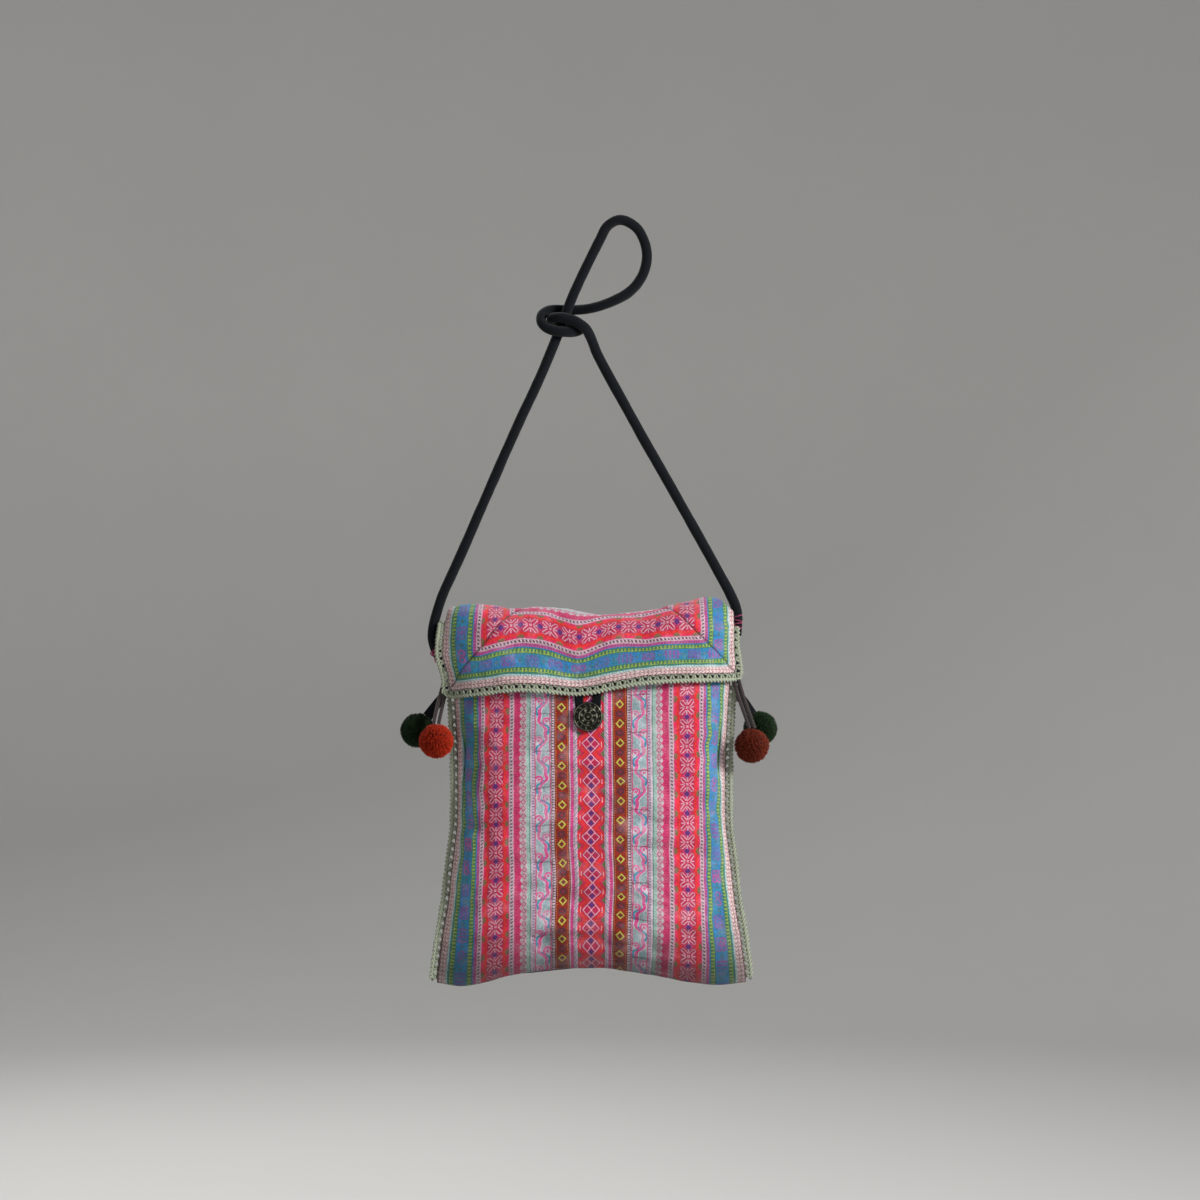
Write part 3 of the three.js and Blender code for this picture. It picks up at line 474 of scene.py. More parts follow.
def tubes(paths, radii, reference, sides, flat=1.0):
    """Round yarns along many paths at once.

    paths is (yarns, stations, 3), radii broadcasts to (yarns, stations), reference is a direction that
    the paths don't follow. A ring's point is centre + r (cos t * side + flat * sin t * up), and the end
    rings shrink to a point, so every yarn is closed.
    """
    centres = with_ends(paths)
    along = unit(np.gradient(centres, axis=1))
    side = unit(np.cross(along, ends_doubled(np.broadcast_to(reference, paths.shape))))
    up = np.cross(side, along)
    r = np.broadcast_to(radii, paths.shape[:2])
    point = np.full((len(paths), 1), POINT_RADIUS)
    r = np.concatenate([point, r, point], 1)[..., None, None]
    angle = np.linspace(0, 2 * math.pi, sides, endpoint=False)
    ring = side[:, :, None] * np.cos(angle)[:, None] + flat * up[:, :, None] * np.sin(angle)[:, None]
    points = centres[:, :, None] + r * ring
    yarns, stations = points.shape[:2]
    one = grid_quads(stations, sides, wraps=True)[:, ::-1]
    quads = (np.arange(yarns)[:, None, None] * stations * sides + one[None]).reshape(-1, 4)
    return points.reshape(-1, 3), quads


def merge_parts(parts):
    """Stacks several (points, quads) pairs into one."""
    shift, points, quads = 0, [], []
    for p, q in parts:
        points.append(p)
        quads.append(q + shift)
        shift += len(p)
    return np.concatenate(points), np.concatenate(quads)


# ---------------------------------------------------------------- shader maths


class Term:
    """A value in a material. Arithmetic and comparisons on it add Math nodes."""

    def __init__(self, paint, socket):
        self.paint, self.socket = paint, socket

    def _with(self, operation, *others):
        return self.paint.math(operation, self, *others)

    def __add__(self, other):
        return self._with("ADD", other)

    __radd__ = __add__

    def __sub__(self, other):
        return self._with("SUBTRACT", other)

    def __rsub__(self, other):
        return self.paint.math("SUBTRACT", other, self)

    def __mul__(self, other):
        return self._with("MULTIPLY", other)

    __rmul__ = __mul__

    def __truediv__(self, other):
        return self._with("DIVIDE", other)

    def __rtruediv__(self, other):
        return self.paint.math("DIVIDE", other, self)

    def __mod__(self, other):
        return self._with("FLOORED_MODULO", other)

    def __lt__(self, other):
        return self._with("LESS_THAN", other)

    def __gt__(self, other):
        return self._with("GREATER_THAN", other)

    def __abs__(self):
        return self._with("ABSOLUTE")

    def floor(self):
        return self._with("FLOOR")

    def wave(self, period, phase=0.0):
        """Sine of the value with that period."""
        return (self * (2 * math.pi / period) + phase)._with("SINE")

    def least(self, other):
        return self._with("MINIMUM", other)

    def most(self, other):
        return self._with("MAXIMUM", other)

    def clipped(self, low=0.0, high=1.0):
        """The value, no less than low and no more than high."""
        return self.most(low).least(high)

    def centred(self, period, phase=0.0):
        """The value repeated from -period/2 to period/2."""
        return (self + (period / 2 + phase)) % period - period / 2

    def near(self, other, half):
        """1 where the value is within half of the other."""
        return self._with("COMPARE", other, half)


class Paint:
    """One material's nodes, ending in a Principled shader."""

    def __init__(self, name, roughness=0.85, **fixed):
        self.material = bpy.data.materials.new(name)
        self.material.use_nodes = True
        self.tree = self.material.node_tree
        self.tree.nodes.clear()
        self.shader = self.tree.nodes.new("ShaderNodeBsdfPrincipled")
        output = self.tree.nodes.new("ShaderNodeOutputMaterial")
        self.tree.links.new(self.shader.outputs[0], output.inputs[0])
        self.shader.inputs["Roughness"].default_value = roughness
        for key, value in fixed.items():
            self.shader.inputs[key.replace("_", " ")].default_value = value

    def node(self, kind, settings=None, sockets=None, out=0):
        """Adds a node of that kind: its settings first, then the values or links of its sockets."""
        made = self.tree.nodes.new(kind)
        for key, value in (settings or {}).items():
            setattr(made, key, value)
        for key, value in (sockets or {}).items():
            if isinstance(value, Term):
                self.tree.links.new(value.socket, made.inputs[key])
            else:
                made.inputs[key].default_value = value
        return Term(self, made.outputs[out])

    def math(self, operation, *values):
        return self.node("ShaderNodeMath", {"operation": operation}, dict(enumerate(values)))

    def mix(self, share, under, over, blend="MIX"):
        """Colour between under and over by a share from 0 to 1."""
        settings = {"data_type": "RGBA", "blend_type": blend}
        return self.node("ShaderNodeMix", settings, {0: share, 6: under, 7: over}, out=2)

    def layers(self, ground, *painted):
        """Colours laid one over the other, each where its mask is 1."""
        for mask, colour in painted:
            ground = self.mix(mask, ground, colour)
        return ground

    def shaded(self, colour, value):
        """The colour times a grey value."""
        grey = self.node("ShaderNodeCombineColor", {}, {0: value, 1: value, 2: value})
        return self.mix(1.0, colour, grey, "MULTIPLY")

    def parts(self, vector):
        """The three numbers of a vector."""
        split = self.node("ShaderNodeSeparateXYZ", {}, {0: vector}).socket.node
        return [Term(self, split.outputs[k]) for k in range(3)]

    def cloth_place(self):
        """Distance in from the cloth's outer edge, and place along the band, in mm."""
        return self.parts(self.node("ShaderNodeUVMap", {"uv_map": "cloth"}))[:2]

    def value_of(self, name):
        """A value that the mesh has for each point."""
        return self.node("ShaderNodeAttribute", {"attribute_name": name}, out=2)

    def place(self):
        """The place in the piece's own frame, in metres."""
        return self.node("ShaderNodeTexCoord", out=3)

    def pair(self, a, b):
        """Two values as one vector."""
        return self.node("ShaderNodeCombineXYZ", {}, {0: a, 1: b})

    def noise(self, vector, scale, detail=2.0):
        """Cloudy value from 0 to 1, mostly near one half."""
        return self.node("ShaderNodeTexNoise", {}, {"Vector": vector, "Scale": scale, "Detail": detail})

    def grain(self, vector):
        """Random value from 0 to 1 that is the same over each whole-numbered cell."""
        return self.node("ShaderNodeTexWhiteNoise", {"noise_dimensions": "3D"}, {"Vector": vector})

    def finish(self, colour, height=None, depth=0.3, roughness=None, strength=1.0):
        """Links the colour, a roughness and the bump of a height given in shares of depth mm."""
        self.tree.links.new(colour.socket, self.shader.inputs["Base Color"])
        if roughness is not None:
            self.tree.links.new(roughness.socket, self.shader.inputs["Roughness"])
        if height is not None:
            bump = self.node("ShaderNodeBump", {}, {"Strength": strength, "Distance": depth * MM, "Height": height})
            self.tree.links.new(bump.socket, self.shader.inputs["Normal"])
        return self.material


def srgb(r, g, b):
    """Linear colour of a screen colour given from 0 to 255."""
    c = np.array([r, g, b]) / 255.0
    return tuple(float(x) for x in np.where(c <= 0.04045, c / 12.92, ((c + 0.055) / 1.055) ** 2.4))


def tint(key):
    """A colour of the user's list, with full cover."""
    return (*getattr(bpy.context.scene.bag_colours, key), 1.0)


# Each painter takes the place across its band, from the band's middle, and along it, both in mm. It
# returns the band's colour, and the share by which its threads stand out or None.


def far(a, b):
    """Distance from the point where both values are 0."""
    return (a * a + b * b)._with("SQRT")


def dotted(paint, x, v):
    """Two pale lines with dark dots between them, and mauve threads beside them."""
    pitch = 2.9
    mask = (abs(x) < 0.8) * (abs((v + x * 0.5).centred(pitch)) < pitch * 0.26)
    rails = abs(abs(x) - 1.15) < 0.22
    edge = abs(x) > 1.75
    return paint.layers(
        tint("white"), (rails * 0.5, tint("mauve")), (mask * 0.9, tint("wine")), (edge * 0.85, tint("pink"))
    ), None


def teeth(paint, x, v):
    """A comb of short yellow-green stitches that stand on a line of them, on green."""
    comb = (abs(v.centred(2.9)) < 0.62) * (abs(x) < 1.45)
    spine = x.near(-1.1, 0.35) * 0.6
    fade = 0.45 + 0.85 * (paint.noise(paint.pair(x, v), 0.16, 2.0) - 0.2)
    return paint.layers(tint("green"), ((comb.most(spine) * fade).least(1.0), tint("lime"))), None


def motifs(paint, x, v):
    """Purple loops, hatched blocks, barred crosses and scrolls on blue, one kind to a cell of the band."""
    length = 18.5
    cell = (v / length).floor()
    chance = paint.grain(paint.pair(cell, 3.0))
    y = v.centred(length, -length / 2)
    ax, ay = abs(x), abs(y)
    rings = (abs(far(x, ay - 3.0) - 2.3) < 0.75).most((ax < 0.7) * (ay < 1.2))
    blocks = (ax < 3.9) * (ay < 5.4) * (ax + ay * 1.1).centred(3.4).near(0.0, 0.85)
    stem = (ax < 0.9) * (ay > 4.0) * (ay < 7.0)
    bars = (ax < 4.0) * ay.near(1.5, 0.75).most(ay.near(4.7, 0.75)).most(stem)
    scroll = (abs(far(ax - 1.9, ay - 2.8) - 1.9) < 0.7).most((ay < 0.7) * (ax < 3.8))
    kind = lambda low, high: (chance > low) * (chance < high)
    mask = (rings * kind(-1, 0.27)).most(blocks * kind(0.27, 0.52)).most(bars * kind(0.52, 0.76))
    mask = mask.most(scroll * kind(0.76, 2))
    square = (abs(v.centred(length)) < 1.1) * (ax < 1.1)
    fleck = (paint.grain(paint.pair((x / 1.2).floor(), (v / 1.2).floor())) > 0.93) * 0.4
    hue = paint.mix(paint.grain(paint.pair(cell, 9.0)), tint("violet"), tint("mauve"))
    worn = (paint.noise(paint.pair(x, v), 0.05, 2.0) * 3.0 - 0.8).clipped(0.2)
    patch = worn * (ax < 4.5) * (ay < 5.6) * (paint.noise(paint.pair(x, v), 0.4, 2.0) > 0.42)
    faded = (paint.noise(paint.pair(x, v), 0.07, 2.0) * 4.0 - 1.6).clipped()
    blue = paint.mix(faded, tint("blue"), tint("teal_blue"))
    return paint.layers(
        blue, (fleck, tint("green")), (square * 0.6, tint("olive")), (patch * 0.5, tint("violet")),
        (mask * worn, hue),
    ), None


def stars(paint, x, v):
    """Eight-armed pale stars with purple diamonds between them, and a scalloped red border."""
    pitch = 15.6
    y = v.centred(pitch)
    ax, ay = abs(x), abs(y)
    join = pitch / 2 - ay
    slant, reach = abs(ax - ay) * 0.7071, (ax + ay) * 0.7071
    inside = (ax < 6.1) * (ay < 6.1)
    arms = slant.near(1.25, 0.45) * (reach > 1.8) * inside
    tips = slant.near(1.25, 0.45).most(slant < 0.55) * (ax.most(ay) > 5.1) * inside * 0.5  # half faded
    heart = (slant < 0.5) * (reach < 1.2)
    bars = (ax.least(ay) < 0.48) * (ax.most(ay) > 3.0) * (ax.most(ay) < 5.8)
    bed = (ax.most(ay) < 6.4) * 0.65
    link = (ax + join * 0.9).near(3.4, 0.36)
    gem = ax + join * 0.85 < 2.5
    red = ax + (4.0 - join).most(0.0) * 0.35 > 6.9
    outer = ax > 9.0
    rim = 11.2 - ax
    lump = far(rim, join) < 3.0
    broken = 0.55 + 0.75 * (paint.noise(paint.pair(x, v), 0.9, 1.0) - 0.2)
    star = arms.most(heart).most(tips).most(bars)
    return paint.layers(
        tint("rose"), (red, tint("scarlet")), (outer * 0.9, tint("hot_pink")), (lump * 0.85, tint("olive")),
        (bed, tint("crimson")), (link * 0.8, tint("mauve")), (gem, tint("purple")),
        ((star * broken).least(1.0), tint("star_pink")),
    ), star.most(gem)


def lace(paint, x, v):
    """Open diamonds in rose threads on white cloth, between a bright pink zigzag and plain mint cloth."""
    pitch = 5.8
    y = abs(v.centred(pitch))
    size = abs(x) / 2.4 + y / 2.8
    ring = (size > 0.55) * (size < 1.0)
    dot = size < 0.2
    edge = x + y * 0.5 < -1.9
    return paint.layers(
        tint("lace_white"), (x > 2.3, tint("lace_ground")), (edge, tint("pink")), (ring * 0.85, tint("lace_thread")),
        (dot * 0.8, tint("crimson")),
    ), ring


def pale(paint, x, _):
    """Mint cloth, a thin teal line and a white line."""
    return paint.layers(tint("lace_ground"), (x > 0.5, tint("white")), (x.near(0.2, 0.32), tint("teal"))), None


def waves(paint, x, v):
    """A thick pink vine with curls, a turquoise line beside it, pale outlines and pink rails on pale aqua, and painted
    shade along its creases.
    """
    period = 33.0
    bend = v.wave(period) * 3.3 + v.wave(period / 3, 0.5) * 0.9
    swing = v.wave(period, 1.2)
    pink = abs(x - bend)
    other = abs(x - bend - swing * 2.9)
    broken = abs(swing) > 0.45
    y = v.centred(period / 2, 4.0)
    side = (v.wave(period, -0.2) > 0) * -6.4 + 3.2
    dx = x - side
    reach = far(dx, y)
    curl = (abs(reach - 2.7) < 0.9) * (y + dx * side * 0.3 < 1.6)
    seed = reach < 1.15
    halo = (reach < 4.0) * (reach > 1.2)
    rails = abs(x).near(6.0, 0.5)
    ticks = (abs(x) > 6.3) * (abs(v.centred(3.1)) < 0.7)
    blot = paint.noise(paint.pair(x, v), 0.13, 4.0)
    ground = paint.mix((blot * 2.4 - 0.7).clipped(), tint("aqua"), tint("pale_grey"))
    # painted shade: dark wine lines along the creases, about 32 mm apart
    painted_crease_shade = abs((v + paint.noise(paint.pair(x, v), 0.05, 2.0) * 8.0).centred(32.0, 4.0)) < 0.55
    strong = (paint.noise(paint.pair(v, x), 0.04, 2.0) * 1.7 - 0.05).clipped(0.35)
    return paint.layers(
        ground, (halo.most(pink < 2.1).most((other < 1.7) * broken) * 0.75, tint("batik_white")),
        ((other < 1.1) * broken, tint("turquoise")), ((pink < 1.35) * strong, tint("bright_pink")),
        (curl.most(seed) * strong, tint("bright_pink")), (rails * 0.85, tint("pink")), (ticks * 0.6, tint("mauve")),
        (painted_crease_shade * 0.5, tint("wine")),
    ), (pink < 1.2).most(curl) * 0.5


def ribbon(paint, x, v):
    """Rust ribbon: open lime diamonds by turns with dark octagons, and stitched orange edges."""
    pitch = 16.65
    y = v.centred(pitch)
    far_side = abs(v.centred(pitch, pitch / 2))
    ax = abs(x)
    size = ax / 3.4 + abs(y) / 3.8
    ring = (size > 0.64) * (size < 1.02)
    dots = ax.near(4.75, 0.35) * (abs(v.centred(1.9)) < 0.45)
    octagon = (ax.most(far_side) < 2.9) * (ax + far_side < 4.2)
    heart = ax.most(far_side) < 1.2
    dark_edge = ax > 5.2
    patch = paint.noise(paint.pair(x, v), 0.2, 3.0)
    ground = paint.mix(patch, tint("rust"), tint("rust_dark"))
    return paint.layers(
        ground, (dark_edge * 0.6, tint("wine")), (octagon * 0.9, tint("plum")), (heart * 0.35, tint("crimson")),
        (size < 0.3, tint("plum")), (ring, tint("lime_gold")), (dots * 0.85, tint("orange")),
    ), ring.most(dots)


def middle(paint, x, v):
    """Lattices of four small diamonds between red scallops, whose middle is the band's inner side."""
    pitch = 16.1
    y = v.centred(pitch)
    across = x - BANDS[-1][1] / 2
    ax, ay = abs(across), abs(y)
    half_x, half_y = 6.7, pitch / 2
    p = ax / half_x + ay / half_y
    q = abs(ax / half_x - ay / half_y)
    lines = p.near(1.0, 0.06).most((q < 0.055) * (p < 1.03))
    top = ay / half_y > ax / half_x
    gems = (p < 0.84) * (q > 0.17) * (p > 0.16)
    red = (p > 1.28) * (p < 1.75)
    olive = ax - (half_y - ay) * 0.75 > 7.7
    wing = ax.near(8.6, 0.3) * (ay < 2.2)
    return paint.layers(
        tint("rose"), (red, tint("scarlet")), (olive, tint("olive")), (gems * top, tint("purple")),
        (gems * (1 - top), tint("crimson")), (lines.most(wing), tint("pale_pink")),
    ), lines


def braid(paint, x, v):
    """Two rows of thick chain stitches in rose threads, with a painted highlight in pale grey on the stitches' tops,
    painted shade in the gaps between them, and a dark line outside.
    """
    row = abs(x - 0.3) - 1.35
    slant = (v + abs(row) * 1.5).centred(3.4)
    # painted highlight on the stitches' tops, and painted shade in the gaps between them
    strand = abs(slant) < 0.95
    gap = (abs(x - 0.3) < 0.28).most(abs(slant) > 1.4)
    dark = (x < -2.3) * (0.45 + 0.5 * (abs(v.centred(2.4)) < 0.8))
    return paint.layers(
        tint("dusty_rose"), (strand * 0.65, tint("stone")), (gap * 0.6, tint("wine")), (dark, tint("wine"))
    ), strand


def twisted(paint, x, v):
    """White cord with slanting pink and purple strands."""
    slant = (v + x * 1.4).centred(2.6)
    other = (v + x * 1.4).centred(5.2)
    return paint.layers(tint("white"), (slant < -0.65, tint("mauve")), (other > 1.9, tint("turquoise"))), None


def beads(paint, x, v):
    """Purple line with white bead stitches, beside a white line."""
    bead = (abs(v.centred(2.4)) < 0.75) * (x > -0.1)
    return paint.layers(tint("violet"), (x < -0.25, tint("white")), (bead, tint("white"))), None


def dark_dots(paint, x, v):
    """White beads on a dark line."""
    bead = (abs(v.centred(2.4)) < 0.8) * (abs(x) < 0.8)
    return paint.layers(tint("wine"), (bead, tint("white")), (x > 0.85, tint("white"))), None


PLAIN = {
    "aqua_line": "pale_aqua", "teal_line": "teal", "blue_line": "blue", "mauve_line": "mauve",
    "pink_line": "pink", "white_line": "white", "pink_cord": "bright_pink",
}
PAINTERS = {
    "braid": braid, "teeth_outer": teeth, "teeth_inner": teeth, "blue_motifs": motifs, "dotted_outer": dotted,
    "dotted_inner": dotted, "stars": stars, "lace": lace, "pale_line": pale, "bead_line": beads, "waves": waves,
    "dotted_dark": dark_dots, "ribbon": ribbon, "twisted_cord": twisted, "middle": middle,
}
STITCH = 0.8
# level in mm below which the cloth takes painted shade, and the fall over which that shade deepens
BOTTOM_SHADE_TOP, BOTTOM_SHADE_FALL = -550.0, 46.0


def band_material(name, start, width):
    """Makes the material of one band, with its stitches, worn colour, painted shade towards the bottom, and dark
    seams.

    The pattern wanders with noise, as work by hand does, and the seam value darkens it near a mitre, and on the pouch
    paints shade under the flap's hem.
    """
    paint = Paint(f"cloth_{name}", 0.85, Sheen_Weight=0.2, Specular_IOR_Level=0.25)
    distance, v = paint.cloth_place()
    by_hand = paint.noise(paint.pair(distance, v), 0.11, 3.0)
    x = distance - (start + width / 2) + (by_hand - 0.5) * min(1.5, 0.25 * width)
    straight, v = v, v + (paint.noise(paint.pair(v, distance), 0.07, 2.0) - 0.5) * 2.4
    if name in PLAIN:
        colour = paint.mix((abs(v.centred(2.2)) < 0.3) * 0.35, tint(PLAIN[name]), tint("wine"))
        raised = None
    else:
        colour, raised = PAINTERS[name](paint, x, v)
    thread = paint.grain(paint.pair((distance / STITCH).floor(), (straight / STITCH).floor()))
    worn = paint.noise(paint.pair(distance, v), 0.035, 4.0)
    # painted shade: the cloth grows darker towards the bag's bottom
    level = paint.parts(paint.place())[2] / MM
    painted_bottom_shade = ((BOTTOM_SHADE_TOP - level) / BOTTOM_SHADE_FALL).clipped()
    value = (0.66 + 0.42 * thread + 0.6 * (worn - 0.5)) * (1 - 0.65 * painted_bottom_shade)
    pale_share = (0.3 * (by_hand * worn * 4.0 - 1.0)).clipped(0.0, 0.25)
    colour = paint.mix(pale_share, colour, tint("faded"))
    # dark seams at the flap's mitres, and painted shade on the pouch under the flap's hem
    seam = paint.value_of("seam")
    value = value * (1 - 0.72 * (seam < 0.5)) * (1 - 0.22 * (seam < 1.6))
    weave = distance.wave(STITCH) * straight.wave(STITCH) * 0.5 + thread * 0.5
    pucker = paint.noise(paint.pair(distance * 0.5, straight * 1.4), 0.16, 3.0) * 4.2
    height = weave + pucker if raised is None else weave * 0.6 + raised + pucker
    paint.finish(paint.shaded(colour, value), height, 0.34, 0.78 + 0.16 * thread, 0.8)


def lining_material():
    """Plain dark cotton inside the pouch and under the flap."""
    paint = Paint("lining", 0.9, Sheen_Weight=0.15)
    x, _, z = (part / MM for part in paint.parts(paint.place()))
    weave = x.wave(0.9) * z.wave(0.9)
    worn = paint.noise(paint.place(), 40.0)
    paint.finish(paint.shaded(tint("lining"), 0.75 + 0.5 * worn), weave, 0.15, None, 0.5)


def cloth_materials():
    """One material for each band, in the bands' order, and the lining last."""
    if "cloth_braid" not in bpy.data.materials:
        for k, (name, width, _, _) in enumerate(BANDS):
            band_material(name, float(BAND_STARTS[k]), width)
        lining_material()
    return [bpy.data.materials[f"cloth_{name}"] for name, *_ in BANDS] + [bpy.data.materials["lining"]]


def yarn_material(name, light, dark, scale=900.0, shaded=False):
    """Spun yarn: colour that wanders between two tones, with fine fibres in the bump.

    A shaded yarn takes painted shade from its points' tone: dark between the strands and where they pass below.
    """
    paint = Paint(name, 0.9, Sheen_Weight=0.35, Specular_IOR_Level=0.2)
    place = paint.place()
    tone = paint.noise(place, scale, 3.0)
    patch = paint.noise(place, scale * 0.09, 2.0)
    spun = tone * 0.6 + patch * 0.7 - 0.15
    if shaded:
        spun = paint.value_of("tone") * 1.2 - 0.12 + (spun - 0.5) * 0.7
    return paint.finish(paint.mix(spun.clipped(), tint(dark), tint(light)), tone, 0.25)


def navy_finish(paint, worn, dust, height, depth):
    """Dark navy dye, paler where it is worn and rougher where dust lies."""
    colour = paint.mix((worn * 0.8 + dust * 0.5 - 0.25).most(0.0), tint("navy"), tint("navy_worn"))
    return paint.finish(colour, height, depth, 0.75 + 0.2 * dust, 0.8)


def tape_material():
    """Dark navy cotton with a fine diagonal weave."""
    paint = Paint("navy_cotton", 0.88, Sheen_Weight=0.06, Specular_IOR_Level=0.12)
    x, y, z = (part / MM for part in paint.parts(paint.place()))
    weave = (x + z).wave(0.7) * (y - z).wave(0.7)
    dust = paint.noise(paint.place(), 500.0, 4.0)
    worn = paint.noise(paint.place(), 60.0, 3.0)
    return navy_finish(paint, worn, dust, weave + dust, 0.2)


def strap_material():
    """The strap's tube of cloth: weave round and along it, with one long seam."""
    paint = Paint("strap_cotton", 0.88, Sheen_Weight=0.06, Specular_IOR_Level=0.12)
    around, along = paint.cloth_place()
    weave = around.wave(1.0) * along.wave(1.0)
    seam = abs(around) < 0.5
    dust = paint.noise(paint.pair(around, along), 0.8, 4.0)
    worn = paint.noise(paint.pair(around, along), 0.06, 3.0)
    return navy_finish(paint, worn, dust, weave * 0.6 + dust - seam * 1.2, 0.25)


def metal_material():
    """Dark old pewter, rubbed bright where its relief stands up."""
    paint = Paint("dark_pewter", 0.5, Metallic=1.0)
    relief = paint.value_of("relief")
    pits = paint.noise(paint.place(), 700.0, 4.0)
    rubbed = ((relief - 0.4) * 2.4 + (pits - 0.5) * 1.6).clipped()
    colour = paint.mix(rubbed, tint("metal_dark"), tint("metal_light"))
    return paint.finish(colour, pits, 0.2, 0.6 - 0.28 * rubbed, 0.6)


def pile_material(name, light, dark):
    """Clipped yarn: each strand has its own tone, with painted shade deep between the strands and none at their ends.
    """
    paint = Paint(name, 0.95, Sheen_Weight=0.08, Specular_IOR_Level=0.08)
    tone = paint.value_of("tone")
    fibre = paint.noise(paint.place(), 1600.0, 2.0)
    share = (tone * 1.1 + (fibre - 0.5) * 0.5).clipped()
    return paint.finish(paint.mix(share, tint(dark), tint(light)), fibre, 0.25)


def floor_material():
    """Matt pale paint with faint clouds."""
    paint = Paint("pale_floor", 0.9)
    value = 0.98 + 0.04 * paint.noise(paint.place(), 3.0)
    return paint.finish(paint.shaded(tint("floor"), value))


# ---------------------------------------------------------------- sizes and colours for the user

COLOURS = {
    "scarlet": ("Scarlet of the borders", (224, 46, 46)), "rose": ("Rose ground", (200, 38, 80)),
    "hot_pink": ("Hot pink lumps", (226, 42, 92)), "pink": ("Bright pink lines", (212, 52, 110)),
    "bright_pink": ("Batik pink", (226, 74, 146)), "pale_pink": ("Pale pink lattices", (226, 176, 196)),
    "star_pink": ("Pale pink stars", (228, 178, 194)), "white": ("White threads", (214, 190, 200)),
    "purple": ("Purple diamonds", (98, 44, 120)), "violet": ("Violet motifs", (106, 84, 160)),
    "mauve": ("Mauve threads", (184, 84, 146)), "crimson": ("Crimson centres", (188, 32, 80)),
    "olive": ("Olive lumps", (96, 110, 70)), "green": ("Green ground of the teeth", (66, 124, 92)),
    "lime": ("Yellow-green teeth", (178, 194, 72)), "lime_gold": ("Ribbon's lime diamonds", (200, 200, 84)),
    "blue": ("Blue band", (48, 132, 192)), "teal": ("Teal line", (58, 142, 136)),
    "teal_blue": ("Blue band, faded", (50, 136, 168)), "turquoise": ("Turquoise line", (58, 152, 184)),
    "aqua": ("Batik ground", (130, 162, 168)), "batik_white": ("Batik's pale outlines", (214, 212, 220)),
    "pale_aqua": ("Aqua-white line", (182, 206, 206)), "pale_grey": ("Faded batik ground", (186, 194, 200)),
    "lace_ground": ("Mint cloth", (160, 188, 178)), "lace_thread": ("Threads of the lace", (186, 60, 110)),
    "lace_white": ("White ground of the lace", (192, 176, 182)), "faded": ("Worn threads", (196, 178, 184)),
    "rust": ("Rust ribbon", (156, 44, 20)), "rust_dark": ("Rust ribbon, deep", (132, 30, 18)),
    "orange": ("Orange stitches", (224, 140, 56)), "plum": ("Ribbon's dark octagons", (88, 44, 54)),
    "wine": ("Dark wine threads", (78, 26, 46)), "dusty_rose": ("Braid's rose strands", (216, 160, 168)),
    "stone": ("Braid's painted highlight", (222, 220, 208)), "lining": ("Lining", (24, 26, 38)),
    "navy": ("Navy cotton", (5, 8, 12)), "navy_worn": ("Faded navy", (14, 18, 25)),
    "crochet_light": ("Crochet, light", (150, 157, 136)), "crochet_dark": ("Crochet, dark", (26, 32, 24)),
    "orange_light": ("Orange pompom", (188, 48, 12)), "orange_dark": ("Orange pompom, deep", (86, 14, 4)),
    "red_light": ("Right orange pompom", (116, 42, 20)),
    "red_dark": ("Right orange pompom, deep", (54, 14, 6)), "green_light": ("Green pompom", (24, 48, 18)),
    "green_dark": ("Green pompom, deep", (6, 16, 6)), "tie_light": ("Tie cords", (68, 57, 54)),
    "tie_dark": ("Tie cords, deep", (28, 22, 22)), "thread": ("Sewing thread", (168, 40, 92)),
    "metal_dark": ("Dark pewter", (34, 35, 30)), "metal_light": ("Rubbed pewter", (138, 136, 120)),
    "floor": ("Floor", (204, 203, 200)),
}


class BagColours(bpy.types.PropertyGroup):
    """Colours of the threads, cloth, yarns and metal."""

    __annotations__ = {
        key: FloatVectorProperty(
            name=label, description=f"{label}, linear colour", default=srgb(*value), size=3, min=0, max=1,
            subtype="COLOR",
        )
        for key, (label, value) in COLOURS.items()
    }


def length(name, description, default, least):
    """A length of the user's list, given in mm."""
    return FloatProperty(name=name, description=description, default=default * MM, min=least * MM, unit="LENGTH")


def strength(name, description):
    """A share of the user's list, which is 1 for the bag as shown."""
    return FloatProperty(name=name, description=description, default=1.0, min=0, max=2, subtype="FACTOR")


class BagSizes(bpy.types.PropertyGroup):
    """Sizes of what is added to the plain solids."""

    wall: length("Cloth wall", "Thickness of the quilted cloth", 1.6, 0.5)
    relief: strength("Band relief", "How strongly cords and ribbons stand out, as a share")
    wrinkle: strength("Wrinkles", "How strongly the cloth is wrinkled, as a share")
    yarn: length("Crochet yarn", "Diameter of the edging's yarn", 2.2, 0.5)
    side_pitch: length("Side stitch", "Length of one crochet stitch down the sides", 6.6, 2)
    hem_pitch: length("Hem stitch", "Length of one crochet stitch round the flap", 6.0, 2)
    strap: length("Strap", "Diameter of the strap's tube", 8.2, 2)
    tie: length("Ties", "Diameter of the pompoms' ties", 3.2, 1)
    pompom: length("Pompom", "Diameter of a pompom", 28, 5)
    strands: IntProperty(
        name="Strands", description="Yarn ends that show on one pompom", default=3600, min=200, max=6000
    )
    button: length("Button", "Diameter of the button", 23.6, 5)


def size(key):
    """A size of the user's list in mm."""
    return getattr(bpy.context.scene.bag_sizes, key) / MM


# ---------------------------------------------------------------- cloth pieces


